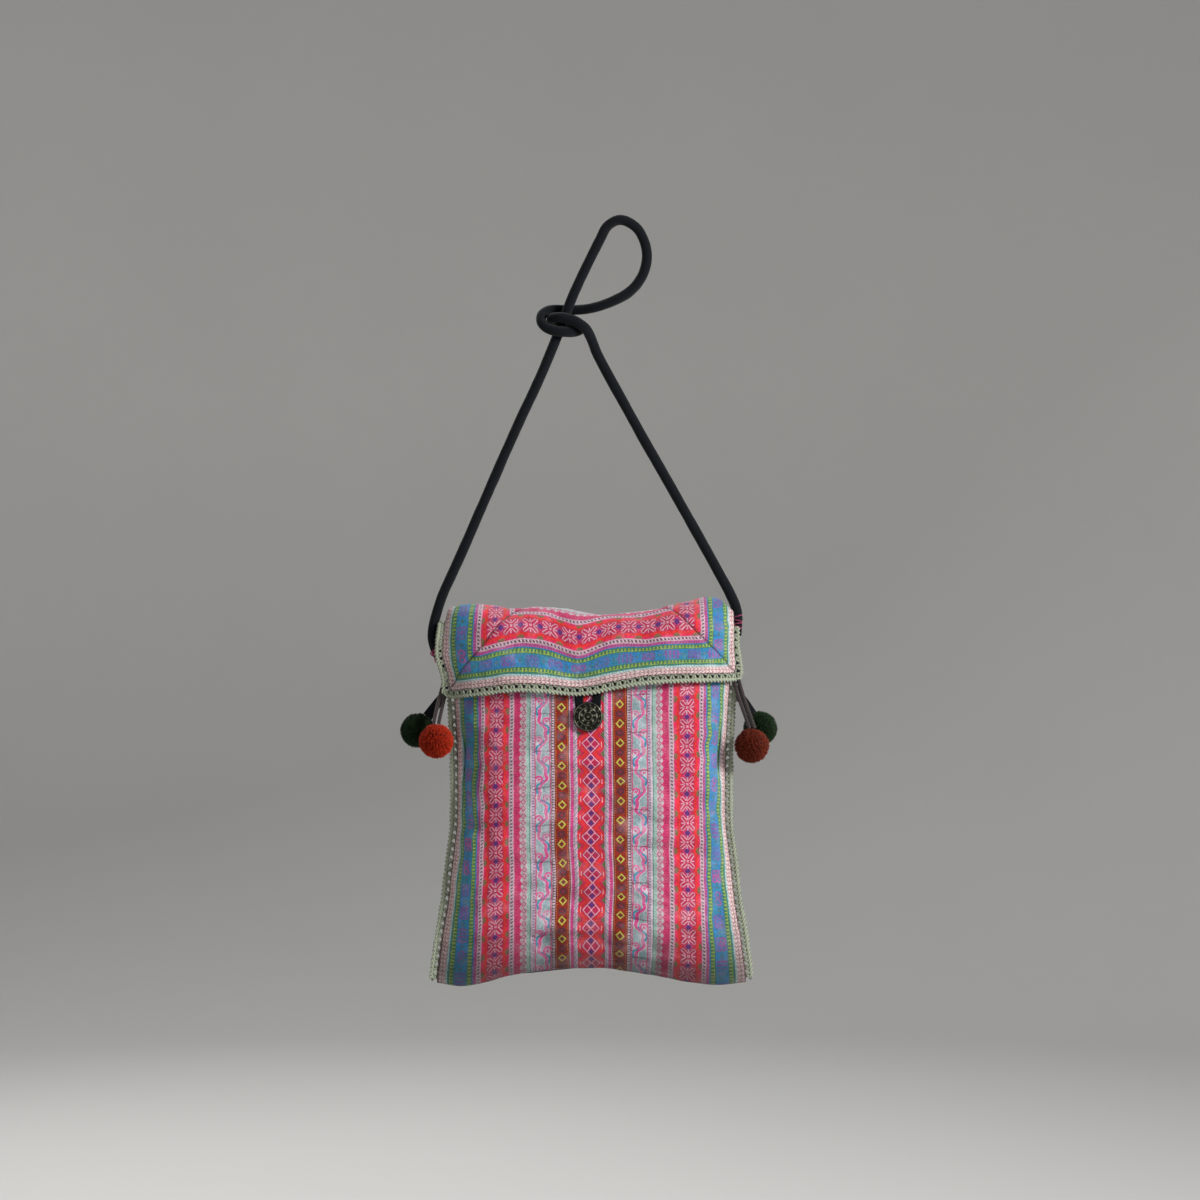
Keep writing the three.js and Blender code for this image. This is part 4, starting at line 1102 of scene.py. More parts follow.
def pouch_ring():
    """Columns once round the pouch: front from left to right, the right seam, back, and the left seam.

    Returns each column's across share, side share from -1 (front) to 1 (back), distance in from the
    edge, lift, and the band and half of the face after it.
    """
    stops, bands, lifts = band_stops()
    mirrored = lambda left: np.concatenate([left, left[-2::-1]])
    once_round = lambda face, right, left: np.concatenate([face, right, face[::-1], left])
    turn = np.sin(np.linspace(-math.pi / 2, math.pi / 2, 6)[1:-1])
    ends = len(turn)
    flat, outer_band = np.zeros(ends), np.zeros(ends + 1, int)
    share = stops / HALF_CLOTH
    run = np.concatenate([-1 + share, 1 - share[-2::-1]])
    across = once_round(run, np.full(ends, 1.0), np.full(ends, -1.0))
    side = np.concatenate([np.full(len(run), -1.0), turn, np.full(len(run), 1.0), -turn])
    distance, lift = once_round(mirrored(stops), flat, flat), once_round(mirrored(lifts), flat, flat)
    band = once_round(np.concatenate([bands, bands[::-1]]), outer_band, outer_band)
    face_halves = np.repeat([LEFT, RIGHT], len(bands))
    half = once_round(face_halves, np.full(ends + 1, RIGHT), np.full(ends + 1, LEFT))
    return across, side, distance, lift, band, half


POUCH_ROWS = 116
ROW_POWER = 1.15
# height share from which the flap covers the pouch, and the share of the wrinkles that stays there
COVERED_FROM = {FRONT: 0.77, BACK: 0.8}
COVERED_WRINKLES = {FRONT: 0.35, BACK: 0.12}
# the share of their depth that the bottom's rings keep, and how far they lie below the lowest row
BOTTOM_RINGS = ((0.0, 1.5), (0.72, 1.0))
BOTTOM_FOLD = 3.0
# place along the bands: what is added in the right half, and what is no neighbour's place but a jump
HALF_SHIFT = 305.0
SEAM_JUMP = 200.0
FAR_FROM_HEM = 50.0


def pouch_corners(distance, along, shift):
    """UVs of each cell's corners: distance in from the edge, and place along the band with the half's shift.

    Where the front's and the back's places meet in a seam, a cell keeps its own column's place.
    """
    u_next, v_next = np.roll(distance, -1), np.roll(along, -1, 1)
    v_next = np.where(np.abs(v_next - along) > SEAM_JUMP, along, v_next)
    pair = lambda u, v: np.stack([np.broadcast_to(u, v.shape), v + shift], -1)
    return np.stack([
        pair(distance, along[:-1]), pair(u_next, v_next[:-1]), pair(u_next, v_next[1:]), pair(distance, along[1:]),
    ], 2)


def make_pouch():
    """Places the outer face, then moves its points along their normals by lift, wrinkles, creases and tucks."""
    across, side, distance, lift, band, half = pouch_ring()
    row = np.linspace(0, 1, POUCH_ROWS)[:, None] ** ROW_POWER
    facing = np.where(side < 0, FRONT, BACK)
    height = row * rim_height(facing, across)
    sway = 0.008 * lattice_noise(across * 50 + 300 * facing, height * BAG_HEIGHT, 38, 15) * fullness(across)
    points = pouch_points(facing, across + sway, height)
    seam = np.abs(side) < 1
    points[..., 1] = np.where(seam, SEAM_HALF * side, points[..., 1])
    points[..., 0] += np.where(seam, np.sign(across) * np.sqrt(np.maximum(0, 1 - side**2)) * 0.5, 0)
    along = np.where(facing < 0, 1 - height, 1 + height) * BAG_HEIGHT
    du = np.roll(points, -1, 1) - np.roll(points, 1, 1)
    normal = unit(np.cross(du, np.gradient(points, axis=0)))
    wrinkle = crumple(across * HALF_CLOTH + 400 * (facing > 0), along) * fullness(across)
    crease_place = along + np.where(across < 0, -7.0, 7.0)
    wrinkle = wrinkle + creases(distance, crease_place) + tucks(facing, across, height, distance)
    # the cloth lies flatter where the flap covers it
    least = np.where(facing < 0, COVERED_WRINKLES[FRONT], COVERED_WRINKLES[BACK])
    covered_from = np.where(facing < 0, COVERED_FROM[FRONT], COVERED_FROM[BACK])
    flatter = least + (1 - least) * np.clip((covered_from - height) / 0.05, 0, 1)
    sizes = bpy.context.scene.bag_sizes
    out = sizes.relief * lift + sizes.wrinkle * wrinkle * np.clip(distance / 3, 0, 1) * flatter
    points = points + normal * (out * (0.25 + 0.75 * np.clip(row * 14, 0, 1)))[..., None]
    # the bottom: two rings that round the fold and close it in the middle
    low = points[0]
    closing = [low * [1, keep, 1] - [0, 0, fall] for keep, fall in BOTTOM_RINGS]
    points = np.concatenate([closing, points])
    fold = along[:1] + np.where(facing < 0, BOTTOM_FOLD, -BOTTOM_FOLD)
    along = np.concatenate([fold, (along[:1] + fold) / 2, along])
    shift = np.where((half == RIGHT) & (band < len(BANDS) - 1), HALF_SHIFT, 0.0)
    corner = pouch_corners(distance, along, shift)
    slots = np.broadcast_to(band, (len(points) - 1, len(band))).ravel()
    # distance below the flap's hem: the pouch's cloth takes painted shade under the hem, dark where the hem's holes
    # show it
    below_hem = -PEG_TO_BAG - points[..., 2] - hem_drop(across) - EDGING_GAP - EDGING_WIDTH + 1.6
    painted_hem_shade = np.where(facing < 0, np.clip(below_hem, 0, FAR_FROM_HEM), FAR_FROM_HEM)
    quads = grid_quads(*points.shape[:2], wraps=True)
    piece = make_mesh(
        "pouch_cloth", points.reshape(-1, 3), quads, slots, corner.reshape(-1, 2), {"seam": painted_hem_shade}
    )
    weld(piece)
    thicken(piece, -1)
    finish_piece(piece, cloth_materials(), ["pouch"], "striped_cloth")


SAG_ABOVE_HEM, SAG_BEFORE_BACK = 38, 50


class FlapMap:
    """Places on the flap's cloth from flat distances: in from the left edge, and up from the hem."""

    def __init__(self):
        self.across = np.linspace(-1, 1, 201)
        self.course = np.concatenate([np.linspace(3, 2, 60), np.linspace(2, 1, 60)[1:], np.linspace(1, 0, 20)[1:]])
        points = flap_points(self.across[:, None], self.course[None, :])
        step = np.linalg.norm(np.diff(points, axis=1), axis=2)
        self.length = np.concatenate([np.zeros((len(self.across), 1)), np.cumsum(step, 1)], 1)

    def _rows(self, flat_x):
        """Across share of each flat distance, and the lengths up from the hem there."""
        a = np.clip(flat_x / HALF_CLOTH - 1, -1, 1)
        g = (a + 1) / 2 * (len(self.across) - 1)
        i = np.clip(np.floor(g).astype(int), 0, len(self.across) - 2)
        f = (g - i)[..., None]
        return a, self.length[i] * (1 - f) + self.length[i + 1] * f

    def total(self, flat_x):
        """Length of the cloth from its hem to its back edge."""
        return self._rows(flat_x)[1][..., -1]

    def points(self, flat_x, up):
        """Looks the course up by length for every place, then reads the flap's surface there.

        The bands sag by FLAP_SAG: nothing at the hem and the back edge, and all of it further in.
        """
        shape = np.broadcast(flat_x, up).shape
        x, s = (np.broadcast_to(v, shape).ravel() for v in (flat_x, up))
        a, lengths = self._rows(x)
        sag = smooth_read(FLAP_SAG, 1, a) + 0.9 * lattice_noise(x, s * 0.6, 17, 16)
        s = s + sag * smoothstep(s / SAG_ABOVE_HEM) * smoothstep((lengths[:, -1] - s) / SAG_BEFORE_BACK)
        k = np.clip((lengths < s[:, None]).sum(1), 1, lengths.shape[1] - 1)
        pick = np.arange(len(k))
        low, high = lengths[pick, k - 1], lengths[pick, k]
        t = np.clip((s - low) / np.maximum(high - low, 1e-9), -0.2, 1.2)
        course = self.course[k - 1] + (self.course[k] - self.course[k - 1]) * t
        return flap_points(a, np.clip(course, 0, 3)).reshape(*shape, 3)


FLAP_PROBE = 0.6
HEM_SHIFT, RIGHT_SHIFT = 1000.0, 2000.0


def flap_panels(flap, stops):
    """The hem's strip and the two sides' strips: flat x, distance up, place along the band, and mirrored or not.

    Each is a trapezium or a strip whose line at distance d from the outer edge starts on the mitre.
    """
    width = 2 * HALF_CLOTH
    across_hem, up_side = np.linspace(0, 1, 111)[None, :], np.linspace(0, 1, 66)[None, :]
    d = stops[:, None]
    run = width - 2 * d
    panels = [(d + run * across_hem, d + 0 * across_hem, HEM_SHIFT + run * (across_hem - 0.5), False)]
    for side in (LEFT, RIGHT):
        flat_x = d if side == LEFT else width - d
        up = d + (flap.total(flat_x[:, 0])[:, None] - d) * up_side
        panels.append((flat_x + 0 * up, up, up + (0 if side == LEFT else RIGHT_SHIFT), side == RIGHT))
    return panels


def make_flap():
    """Lays the three strips on the flap's surface, then moves their points out by lift, wrinkles and mitres."""
    stops, bands, lifts = band_stops()
    flap = FlapMap()
    width = 2 * HALF_CLOTH
    sizes = bpy.context.scene.bag_sizes
    parts, slots, uvs, seams = [], [], [], []
    for flat_x, up, along, mirrored in flap_panels(flap, stops):
        p = flap.points(flat_x, up)
        to_side = flap.points(np.minimum(flat_x + FLAP_PROBE, width), up)
        to_side = to_side - flap.points(np.maximum(flat_x - FLAP_PROBE, 0), up)
        to_top = flap.points(flat_x, up + FLAP_PROBE) - flap.points(flat_x, np.maximum(up - FLAP_PROBE, 0))
        normal = unit(np.cross(to_side, to_top))
        distance, lift = (np.broadcast_to(rows[:, None], flat_x.shape) for rows in (stops, lifts))
        mitre = np.minimum(np.abs(up - flat_x), np.abs(up - (width - flat_x))) * 0.7071
        middle_seam = (up > HALF_CLOTH) & (np.abs(flat_x - HALF_CLOTH) < 20)
        mitre = np.where(middle_seam, np.abs(flat_x - HALF_CLOTH), mitre)
        soft = np.clip(np.minimum(np.minimum(flat_x, width - flat_x), up) / 4, 0, 1)
        behind = np.clip((up - flap.total(flat_x) + 70) / 20, 0, 1)
        ripple = (crumple(flat_x, up) * 0.55 + 0.35 * creases(distance, along)) * (1 - 0.75 * behind)
        out = sizes.relief * lift + sizes.wrinkle * ripple * soft - 0.7 * bell(mitre, 1.3) * soft
        quads = grid_quads(*flat_x.shape)
        if mirrored:
            quads = quads[:, ::-1]
        parts.append(((p + normal * out[..., None]).reshape(-1, 3), quads))
        slots.append(np.repeat(bands, flat_x.shape[1] - 1))
        uvs.append(np.stack([distance, along], -1).reshape(-1, 2)[quads].reshape(-1, 2))
        seams.append(mitre.ravel())
    slots, uvs, seams = (np.concatenate(rows) for rows in (slots, uvs, seams))
    piece = make_mesh("flap_cloth", *merge_parts(parts), slots, uvs, {"seam": seams})
    weld(piece, 0.05)
    face_out(piece)
    thicken(piece, 0)
    finish_piece(piece, cloth_materials(), ["flap"], "striped_cloth")


def face_out(piece):
    """Turns an open sheet so that its faces look away from the middle of what it covers."""
    mesh = piece.data
    centre, normal = np.zeros((2, len(mesh.polygons) * 3))
    mesh.polygons.foreach_get("center", centre)
    mesh.polygons.foreach_get("normal", normal)
    centre, normal = centre.reshape(-1, 3), normal.reshape(-1, 3)
    inside = np.array([BAG_OFFSET, 0, -PEG_TO_BAG - 60]) * MM
    if ((centre - inside) * normal).sum() < 0:
        mesh.flip_normals()


# ---------------------------------------------------------------- crochet


class Edge:
    """A line that crochet follows, read by its length: base point, outward direction and normal."""

    def __init__(self, base, outward, normal):
        self.at = lengths_along(base + outward * EDGING_WIDTH / 2)
        self.base, self.outward, self.normal = base, outward, normal

    def read(self, s, out, up):
        """Point at length s, out from the cloth's edge and up along the normal, all in mm."""
        part = lambda rows: np.stack([np.interp(s, self.at, rows[:, k]) for k in range(3)], -1)
        outward, normal = unit(part(self.outward)), unit(part(self.normal))
        return part(self.base) + outward * np.asarray(out)[..., None] + normal * np.asarray(up)[..., None], normal


def side_edge(side):
    """The pouch's seam from its lower corner up; outward is across the seam in the seam's plane."""
    height = np.linspace(0.004, height_at(side, -PEG_TO_BAG - SIDE_EDGING_TOP), 140)
    place = lambda h: np.stack([BAG_OFFSET + side * seam_at(h), 0 * h, level_at(side * np.ones_like(h), h)], -1)
    base = place(height)
    along = unit(np.gradient(base, axis=0))
    outward = np.stack([side * along[:, 2], 0 * height, -side * along[:, 0]], -1)
    normal = np.broadcast_to([0.0, -1.0, 0.0], base.shape)
    return Edge(base, outward, normal)


def flap_edge():
    """Down the left side, along the hem and up the right side, turning smoothly at the two corners."""
    start = 2 - math.asin((FOLD_RISE - FLAP_EDGING_TOP) / FOLD_RISE) / math.pi
    course = np.linspace(start, 3, 60)
    hem = np.linspace(-1, 1, 200)
    square_to = lambda n, out: unit(n - out * (n * out).sum(1, keepdims=True))

    def side_run(side, courses):
        p = flap_points(side, courses)
        out = p - flap_points(side * 0.996, courses)
        out[:, 1] *= 0.15
        out = unit(out)
        n = normals_of(flap_points, np.full_like(courses, side * 0.99), np.clip(courses, 0.02, 2.98))
        n = -n * np.sign(n[np.argmax(courses), 1])
        return p, out, square_to(n, out)

    left = side_run(LEFT, course)
    p = flap_points(hem, 3.0)
    down = unit(p - flap_points(hem, 2.996))
    n = normals_of(flap_points, np.clip(hem, -0.99, 0.99), np.full_like(hem, 2.98))
    n = np.where(n[:, 1:2] > 0, -n, n)
    bottom = (p, down, square_to(n, down))
    right = side_run(RIGHT, course[::-1])

    def corner(one, other):
        t = np.linspace(0, 1, 9)[1:-1, None]
        turn = lambda a, b: unit(a[None] * np.cos(t * math.pi / 2) + b[None] * np.sin(t * math.pi / 2))
        return one[0][-1][None] + 0 * t, turn(one[1][-1], other[1][0]), turn(one[2][-1], other[2][0])

    runs = [left, corner(left, bottom), bottom, corner(bottom, right), right]
    return Edge(*[np.concatenate([run[k] for run in runs]) for k in range(3)])


def painted_yarn_shade(sides, level, lift):
    """Painted shade of every point of yarns: level + lift on the front and level - lift behind, and darker at each
    tube's sides and between.

    level and lift have a value for each station, and lift is positive where the yarn passes in front.
    """
    level, lift = ends_doubled(level)[..., None], ends_doubled(lift)[..., None]
    facing = np.sin(np.linspace(0, 2 * math.pi, sides, endpoint=False))
    return ((level + lift * np.sign(facing)) * (0.45 + 0.55 * np.abs(facing))).ravel()


# mm out from the cloth's edge, swing in and out, and swing up and down
CHAIN_OUT, CHAIN_SWING, CHAIN_LIFT = 4.3, 1.15, 0.95
WHIP_OUT, WHIP_SWING, WHIP_LIFT = -0.35, 0.3, 0.55
BAR_FOOT, BAR_LENGTH = -0.5, 4.6
# share of the pitch from a bar's foot to its place in the chain, and how far the bar bows
BARS = ((-0.36, 0.5), (0.3, 0.7))


def crochet(edge, pitch, seed):
    """Open crochet: a plaited chain outside, paired slanting bars with holes between, a whipped line inside.

    Chain strand: out = w0 + a sin(2 pi s / pitch + phase), up = b cos(the same). Bars run from one foot to
    two places in the chain, bowed along the normal.
    """
    rng = np.random.default_rng(seed)
    total = edge.at[-1]
    stitches = max(2, int(round(total / pitch)))
    pitch = total / stitches
    yarn = size("yarn") / 2
    parts, painted_shades = [], []
    s = np.linspace(0.2, total - 0.2, stitches * 9)
    loose = 1 + 0.16 * np.interp(s, np.linspace(0, total, stitches), rng.uniform(-1, 1, stitches))
    for phase in (0.0, math.pi):
        angle = 2 * math.pi * s / pitch + phase
        out = EDGING_GAP + CHAIN_OUT + CHAIN_SWING * np.sin(angle) * loose
        lift = CHAIN_LIFT * np.cos(angle) * loose
        lean = s + 0.22 * pitch * np.sin(angle + 0.8)
        points, normal = edge.read(lean, out, lift)
        parts.append(tubes(points[None], yarn * 0.92 * loose[None], normal[None], 7, 0.9))
        # painted shade: the chain is lighter where it passes in front and darker where it passes behind
        painted_shades.append(painted_yarn_shade(7, np.full((1, len(s)), 0.62), 0.5 * np.cos(angle)[None]))
    foot = (np.arange(stitches) + 0.5) * pitch + rng.uniform(-0.25, 0.25, stitches)
    t = np.linspace(0, 1, 7)[None, :]
    for reach, bow in BARS:
        jitter = rng.uniform(-0.06, 0.06, stitches)[:, None]
        place = np.clip(foot[:, None] + (reach + jitter) * pitch * t**0.8, 0.2, total - 0.2)
        out = EDGING_GAP + BAR_FOOT + BAR_LENGTH * t + 0 * place
        lift = bow * np.sin(math.pi * t) + 0 * place
        points, normal = edge.read(place, out, lift)
        parts.append(tubes(points, yarn * (0.74 + 0.2 * np.sin(math.pi * t)), normal, 6))
        # painted shade: a bar is darkest at its ends, where it meets the chain and the whipped line
        level = 0.45 + 0.45 * np.sin(math.pi * t) + rng.uniform(-0.15, 0.15, stitches)[:, None]
        painted_shades.append(painted_yarn_shade(6, level, 0 * level))
    s = np.linspace(0.3, total - 0.3, stitches * 6)
    angle = 2 * math.pi * s / pitch
    out = EDGING_GAP + WHIP_OUT + WHIP_SWING * np.sin(angle)
    points, normal = edge.read(s, out, WHIP_LIFT * np.cos(angle))
    parts.append(tubes(points[None], np.full((1, len(s)), yarn * 0.68), normal[None], 6))
    painted_shades.append(painted_yarn_shade(6, np.full((1, len(s)), 0.5), 0.35 * np.cos(angle)[None]))
    return *merge_parts(parts), np.concatenate(painted_shades)


# ---------------------------------------------------------------- small pieces


def front_place(x, drop):
    """Place and normal on the pouch's front, by the distance from the bag's middle and below its top."""
    x, drop = np.broadcast_arrays(np.asarray(x, float), np.asarray(drop, float))
    a = x / HALF_CLOTH
    h = height_at(a, -PEG_TO_BAG - drop)
    surface = lambda u, v: pouch_points(FRONT, u, v)
    n = normals_of(surface, a, h)
    return surface(a, h), np.where(n[..., 1:2] > 0, -n, n)


THREAD_RADIUS = 0.42
TIE_STRAND_RADIUS = 0.84
TIE_STRAND_OFFSET = 0.78
TIE_LAY = 7.5
TAPE_THICKNESS = 2.2
TAPE_SIDES = 18
# how far the tails lie behind the seam's plane, and the ties' tops before it
TAIL_BEHIND = EDGING_HALF + 1.2 + 0.6
TIE_FRONT = -EDGING_HALF - 1.6 - 0.48
BUTTON_SIDE = -2.8
BUTTON_LIFT = 2.4 + 0.9
BUTTON_BODY = 2.4
RELIEF_DEPTH = 0.8
BUTTON_REACH = 11.8
HEM_AT_BUTTON = float(hem_drop(np.array(BUTTON_SIDE / HALF_CLOTH)))
BUTTON_DROP = HEM_AT_BUTTON + EDGING_GAP + EDGING_WIDTH + 5.4 + BUTTON_REACH


def seam_reach(side, drop):
    """The seam's distance from the bag's middle, at a distance below the bag's top."""
    return float(seam_at(height_at(np.array(float(side)), -PEG_TO_BAG - drop)))


def pompom_name(side, colour):
    """Name of a pompom's solid."""
    return f"pompom_{SIDE_NAMES[side]}_{colour}"


def pompom_centre(name):
    """A pompom's middle, reckoned from the edging's outer side and the seam's plane in radii."""
    side, out, back, down = POMPOMS[name]
    drop = BAG_HEIGHT * down
    reach = seam_reach(side, drop) + EDGING_GAP + EDGING_WIDTH
    return np.array([
        BAG_OFFSET + side * (reach + out * POMPOM_RADIUS), back * POMPOM_RADIUS, -PEG_TO_BAG - drop,
    ])


def pompom_top(name, source):
    """Where a cord from the source meets the pompom."""
    centre = pompom_centre(name)
    return centre + unit(source - centre) * (POMPOM_RADIUS + 0.3)


def tape_strip(points, across, normal, width):
    """Tape along stations: a rounded oblong |u|^4 + |w|^2 = 1 carried along, with closed ends."""
    centres = with_ends(points[None])[0]
    across, normal = (ends_doubled(rows[None])[0][:, None] for rows in (across, normal))
    grow = np.concatenate([[POINT_RADIUS], np.ones(len(points)), [POINT_RADIUS]])[:, None, None]
    width = np.concatenate([[1.0], np.broadcast_to(width, len(points)), [1.0]])[:, None, None]
    angle = np.linspace(0, 2 * math.pi, TAPE_SIDES, endpoint=False)
    u = np.sign(np.cos(angle)) * np.abs(np.cos(angle)) ** 0.5
    w = np.sin(angle)
    ring = across * (u[:, None] * width / 2) + normal * (w[:, None] * TAPE_THICKNESS / 2)
    grid = centres[:, None] + ring * grow
    return grid.reshape(-1, 3), grid_quads(len(centres), TAPE_SIDES, wraps=True)


def tail_path(side):
    """The tape's route from behind the flap's edge, out at the bend and down to its green pompom."""
    top = TAIL_TOPS[side]

    def at(drop, out):
        x = BAG_OFFSET + side * seam_reach(side, drop) + side * (out + 0.3)
        return np.array([x, TAIL_BEHIND, -PEG_TO_BAG - drop])

    bend = at(TAIL_BEND, 7.8)
    end = pompom_top(pompom_name(side, "green"), bend)
    return through(np.array([
        at(top, 2.8), at((top + TAIL_BEND) / 2, 3.3), bend, bend + (end - bend) * 0.5, end,
    ]), 1.5)


def tie_path(side, lean):
    """A tie's route from behind the flap's corner, over a bend and down to the orange pompom's top."""
    top = -PEG_TO_BAG - TIE_TOP
    x = BAG_OFFSET + side * seam_reach(side, TIE_TOP) + side * (5.2 + 0.3 + lean * 2.0)
    name = pompom_name(side, "orange")
    end = pompom_top(name, pompom_centre(name) + np.array([side * lean * 4.0, 0, 28.0]))
    bend = [x + side * 3.6, TIE_FRONT - 1.2, top - 13.0]
    return through(np.array([[x, TIE_FRONT, top], bend, end]), 1.0)


# ---------------------------------------------------------------- operators


# lens and sensor in mm, place in metres
CAMERA_LENS, CAMERA_SENSOR = 85.0, 36.0
CAMERA_PLACE = (-0.016, -2.267, -0.3)


class BAG_OT_camera(bpy.types.Operator):
    """Adds the camera, straight in front of the hanging bag"""

    bl_idname = "bag.camera"
    bl_label = "Camera"

    def execute(self, context):
        data = bpy.data.cameras.new("camera")
        data.lens, data.sensor_width = CAMERA_LENS, CAMERA_SENSOR
        camera = bpy.data.objects.new("camera", data)
        camera.location = CAMERA_PLACE
        camera.rotation_euler = (math.pi / 2, 0, 0)
        context.scene.collection.objects.link(camera)
        context.scene.camera = camera
        return {"FINISHED"}


def carried_frames(path):
    """A side direction for each station, turned no more than the path bends from the one before."""
    along = unit(np.gradient(path, axis=0))
    side = np.zeros_like(along)
    side[0] = unit(np.cross(along[0], [0, 1.0, 0]))
    for k in range(1, len(path)):
        kept = side[k - 1] - along[k] * (side[k - 1] @ along[k])
        side[k] = unit(kept)
    return along, side


class BAG_OT_strap(bpy.types.Operator):
    """Makes the strap: one soft tube of cloth, knotted into its loop"""

    bl_idname = "bag.strap"
    bl_label = "Strap"

    def execute(self, context):
        path = through(STRAP_ROUTE, 1.6)
        along, side = carried_frames(path)
        up = np.cross(along, side)
        radius = size("strap") / 2
        sides = 24
        angle = np.linspace(0, 2 * math.pi, sides, endpoint=False)
        at = lengths_along(path)
        a, s = angle[None, :], at[:, None]
        wrinkle = 0.09 * lattice_noise(radius * a * 2, s, 5.0, 21) + 0.12 * lattice_noise(radius * a, s, 17.0, 22)
        wrinkle = wrinkle - 0.22 * bell(np.minimum(a, 2 * math.pi - a), 0.22)
        end = np.clip(np.minimum(s, s[-1] - s) / 2.5, 0, 1)
        r = (radius + wrinkle) * (0.55 + 0.45 * np.sqrt(end * (2 - end)))
        ring = side[:, None] * np.cos(angle)[:, None] + up[:, None] * np.sin(angle)[:, None]
        points = path[:, None] + ring * r[..., None]
        caps = [np.repeat(path[k][None, None], sides, 1) for k in (0, -1)]
        points = np.concatenate([caps[0], points, caps[1]])
        place = np.concatenate([[0], at, [at[-1]]])
        quads = grid_quads(len(points), sides, wraps=True)
        row, column = quads[:, 0] // sides, quads[:, 0] % sides
        u = np.stack([column, column + 1, column + 1, column], -1) * (2 * math.pi * radius / sides)
        v = place[np.stack([row, row, row + 1, row + 1], -1)]
        uv = np.stack([u, v], -1).reshape(-1, 2)
        piece = add_piece(
            "strap_tube", points.reshape(-1, 3), quads, 0.01, strap_material(), ["strap"], "navy_cloth", corner_uv=uv
        )
        2 * radius * MM
        return {"FINISHED"}


# the route's first or last point, the way into the route and the number of threads there
STRAP_ENDS = ((0, 1, 9), (-1, -1, 4))


class BAG_OT_stitches(bpy.types.Operator):
    """Makes the pink sewing threads that hold the strap's ends to the edging"""

    bl_idname = "bag.stitches"
    bl_label = "Strap stitches"

    def execute(self, context):
        rng = np.random.default_rng(81)
        to_back = np.array([0.0, 1.0, 0.0])
        stations = 15
        parts = []
        for end, way, count in STRAP_ENDS:
            near = STRAP_ROUTE[end] + (STRAP_ROUTE[end + 2 * way] - STRAP_ROUTE[end]) * 0.9
            along = unit(near - STRAP_ROUTE[end])
            across = unit(np.cross(along, to_back))
            for k in range(count):
                t = np.linspace(-0.55, 1.12, stations) * math.pi / 2 + math.pi / 4
                lean = rng.uniform(-2.2, 2.2)
                slide = (k / count - 0.5) * 11.0 + rng.uniform(-0.8, 0.8)
                reach = size("strap") / 2 + 0.45 + rng.uniform(0, 0.5)
                wide = reach * (np.cos(t)[:, None] * across - np.sin(t)[:, None] * to_back)
                path = near + along * (slide + lean * np.linspace(-1, 1, stations))[:, None] + wide
                parts.append(tubes(path[None], THREAD_RADIUS, along, 6))
        add_piece("strap_stitches", *merge_parts(parts), 0.002, yarn_material("sewing_thread", "thread", "wine"))
        return {"FINISHED"}


class BAG_OT_ties(bpy.types.Operator):
    """Makes the four twisted cords of the orange pompoms"""

    bl_idname = "bag.ties"
    bl_label = "Pompom ties"

    def execute(self, context):
        material = yarn_material("tie_yarn", "tie_light", "tie_dark", 800.0)
        for side in (LEFT, RIGHT):
            for lean, place in ((-1, "inner"), (1, "outer")):
                path = tie_path(side, lean)
                at = lengths_along(path)
                along = unit(np.gradient(path, axis=0))
                normal = unit(np.broadcast_to([0.0, -1.0, 0.0], path.shape) + along[:, 1:2] * along)
                across = np.cross(along, normal)
                parts = []
                for strand in range(3):
                    turn = 2 * math.pi * (at / TIE_LAY + strand / 3)
                    offset = across * np.cos(turn)[:, None] + normal * np.sin(turn)[:, None]
                    parts.append(tubes((path + offset * TIE_STRAND_OFFSET)[None], TIE_STRAND_RADIUS, normal, 8))
                node = f"tie_{SIDE_NAMES[side]}_{place}"
                piece = add_piece(f"{node}_cord", *merge_parts(parts), 0.004, material, [node], "tie_cord")
                size("tie") * MM
        return {"FINISHED"}


class BAG_OT_pouch(bpy.types.Operator):
    """Makes the pouch: one strip of banded cloth folded at the bottom"""

    bl_idname = "bag.pouch"
    bl_label = "Pouch"

    def execute(self, context):
        make_pouch()
        return {"FINISHED"}


class BAG_OT_flap(bpy.types.Operator):
    """Makes the flap: three strips of banded cloth joined by mitres"""

    bl_idname = "bag.flap"
    bl_label = "Flap"

    def execute(self, context):
        make_flap()
        return {"FINISHED"}


class BAG_OT_crochet(bpy.types.Operator):
    """Makes the crocheted edging of the sides and of the flap"""

    bl_idname = "bag.crochet"
    bl_label = "Crocheted edging"

    def execute(self, context):
        material = yarn_material("crochet_yarn", "crochet_light", "crochet_dark", 650.0, shaded=True)
        for name, edge, pitch, seed in (
            ("edging_left", side_edge(LEFT), size("side_pitch"), 31),
            ("edging_right", side_edge(RIGHT), size("side_pitch"), 32),
            ("edging_flap", flap_edge(), size("hem_pitch"), 33),
        ):
            # tone is painted shade on the yarn's points
            points, quads, tone = crochet(edge, pitch, seed)
            add_piece(f"{name}_crochet", points, quads, 0.004, material, [name], "crochet", values={"tone": tone})
        return {"FINISHED"}


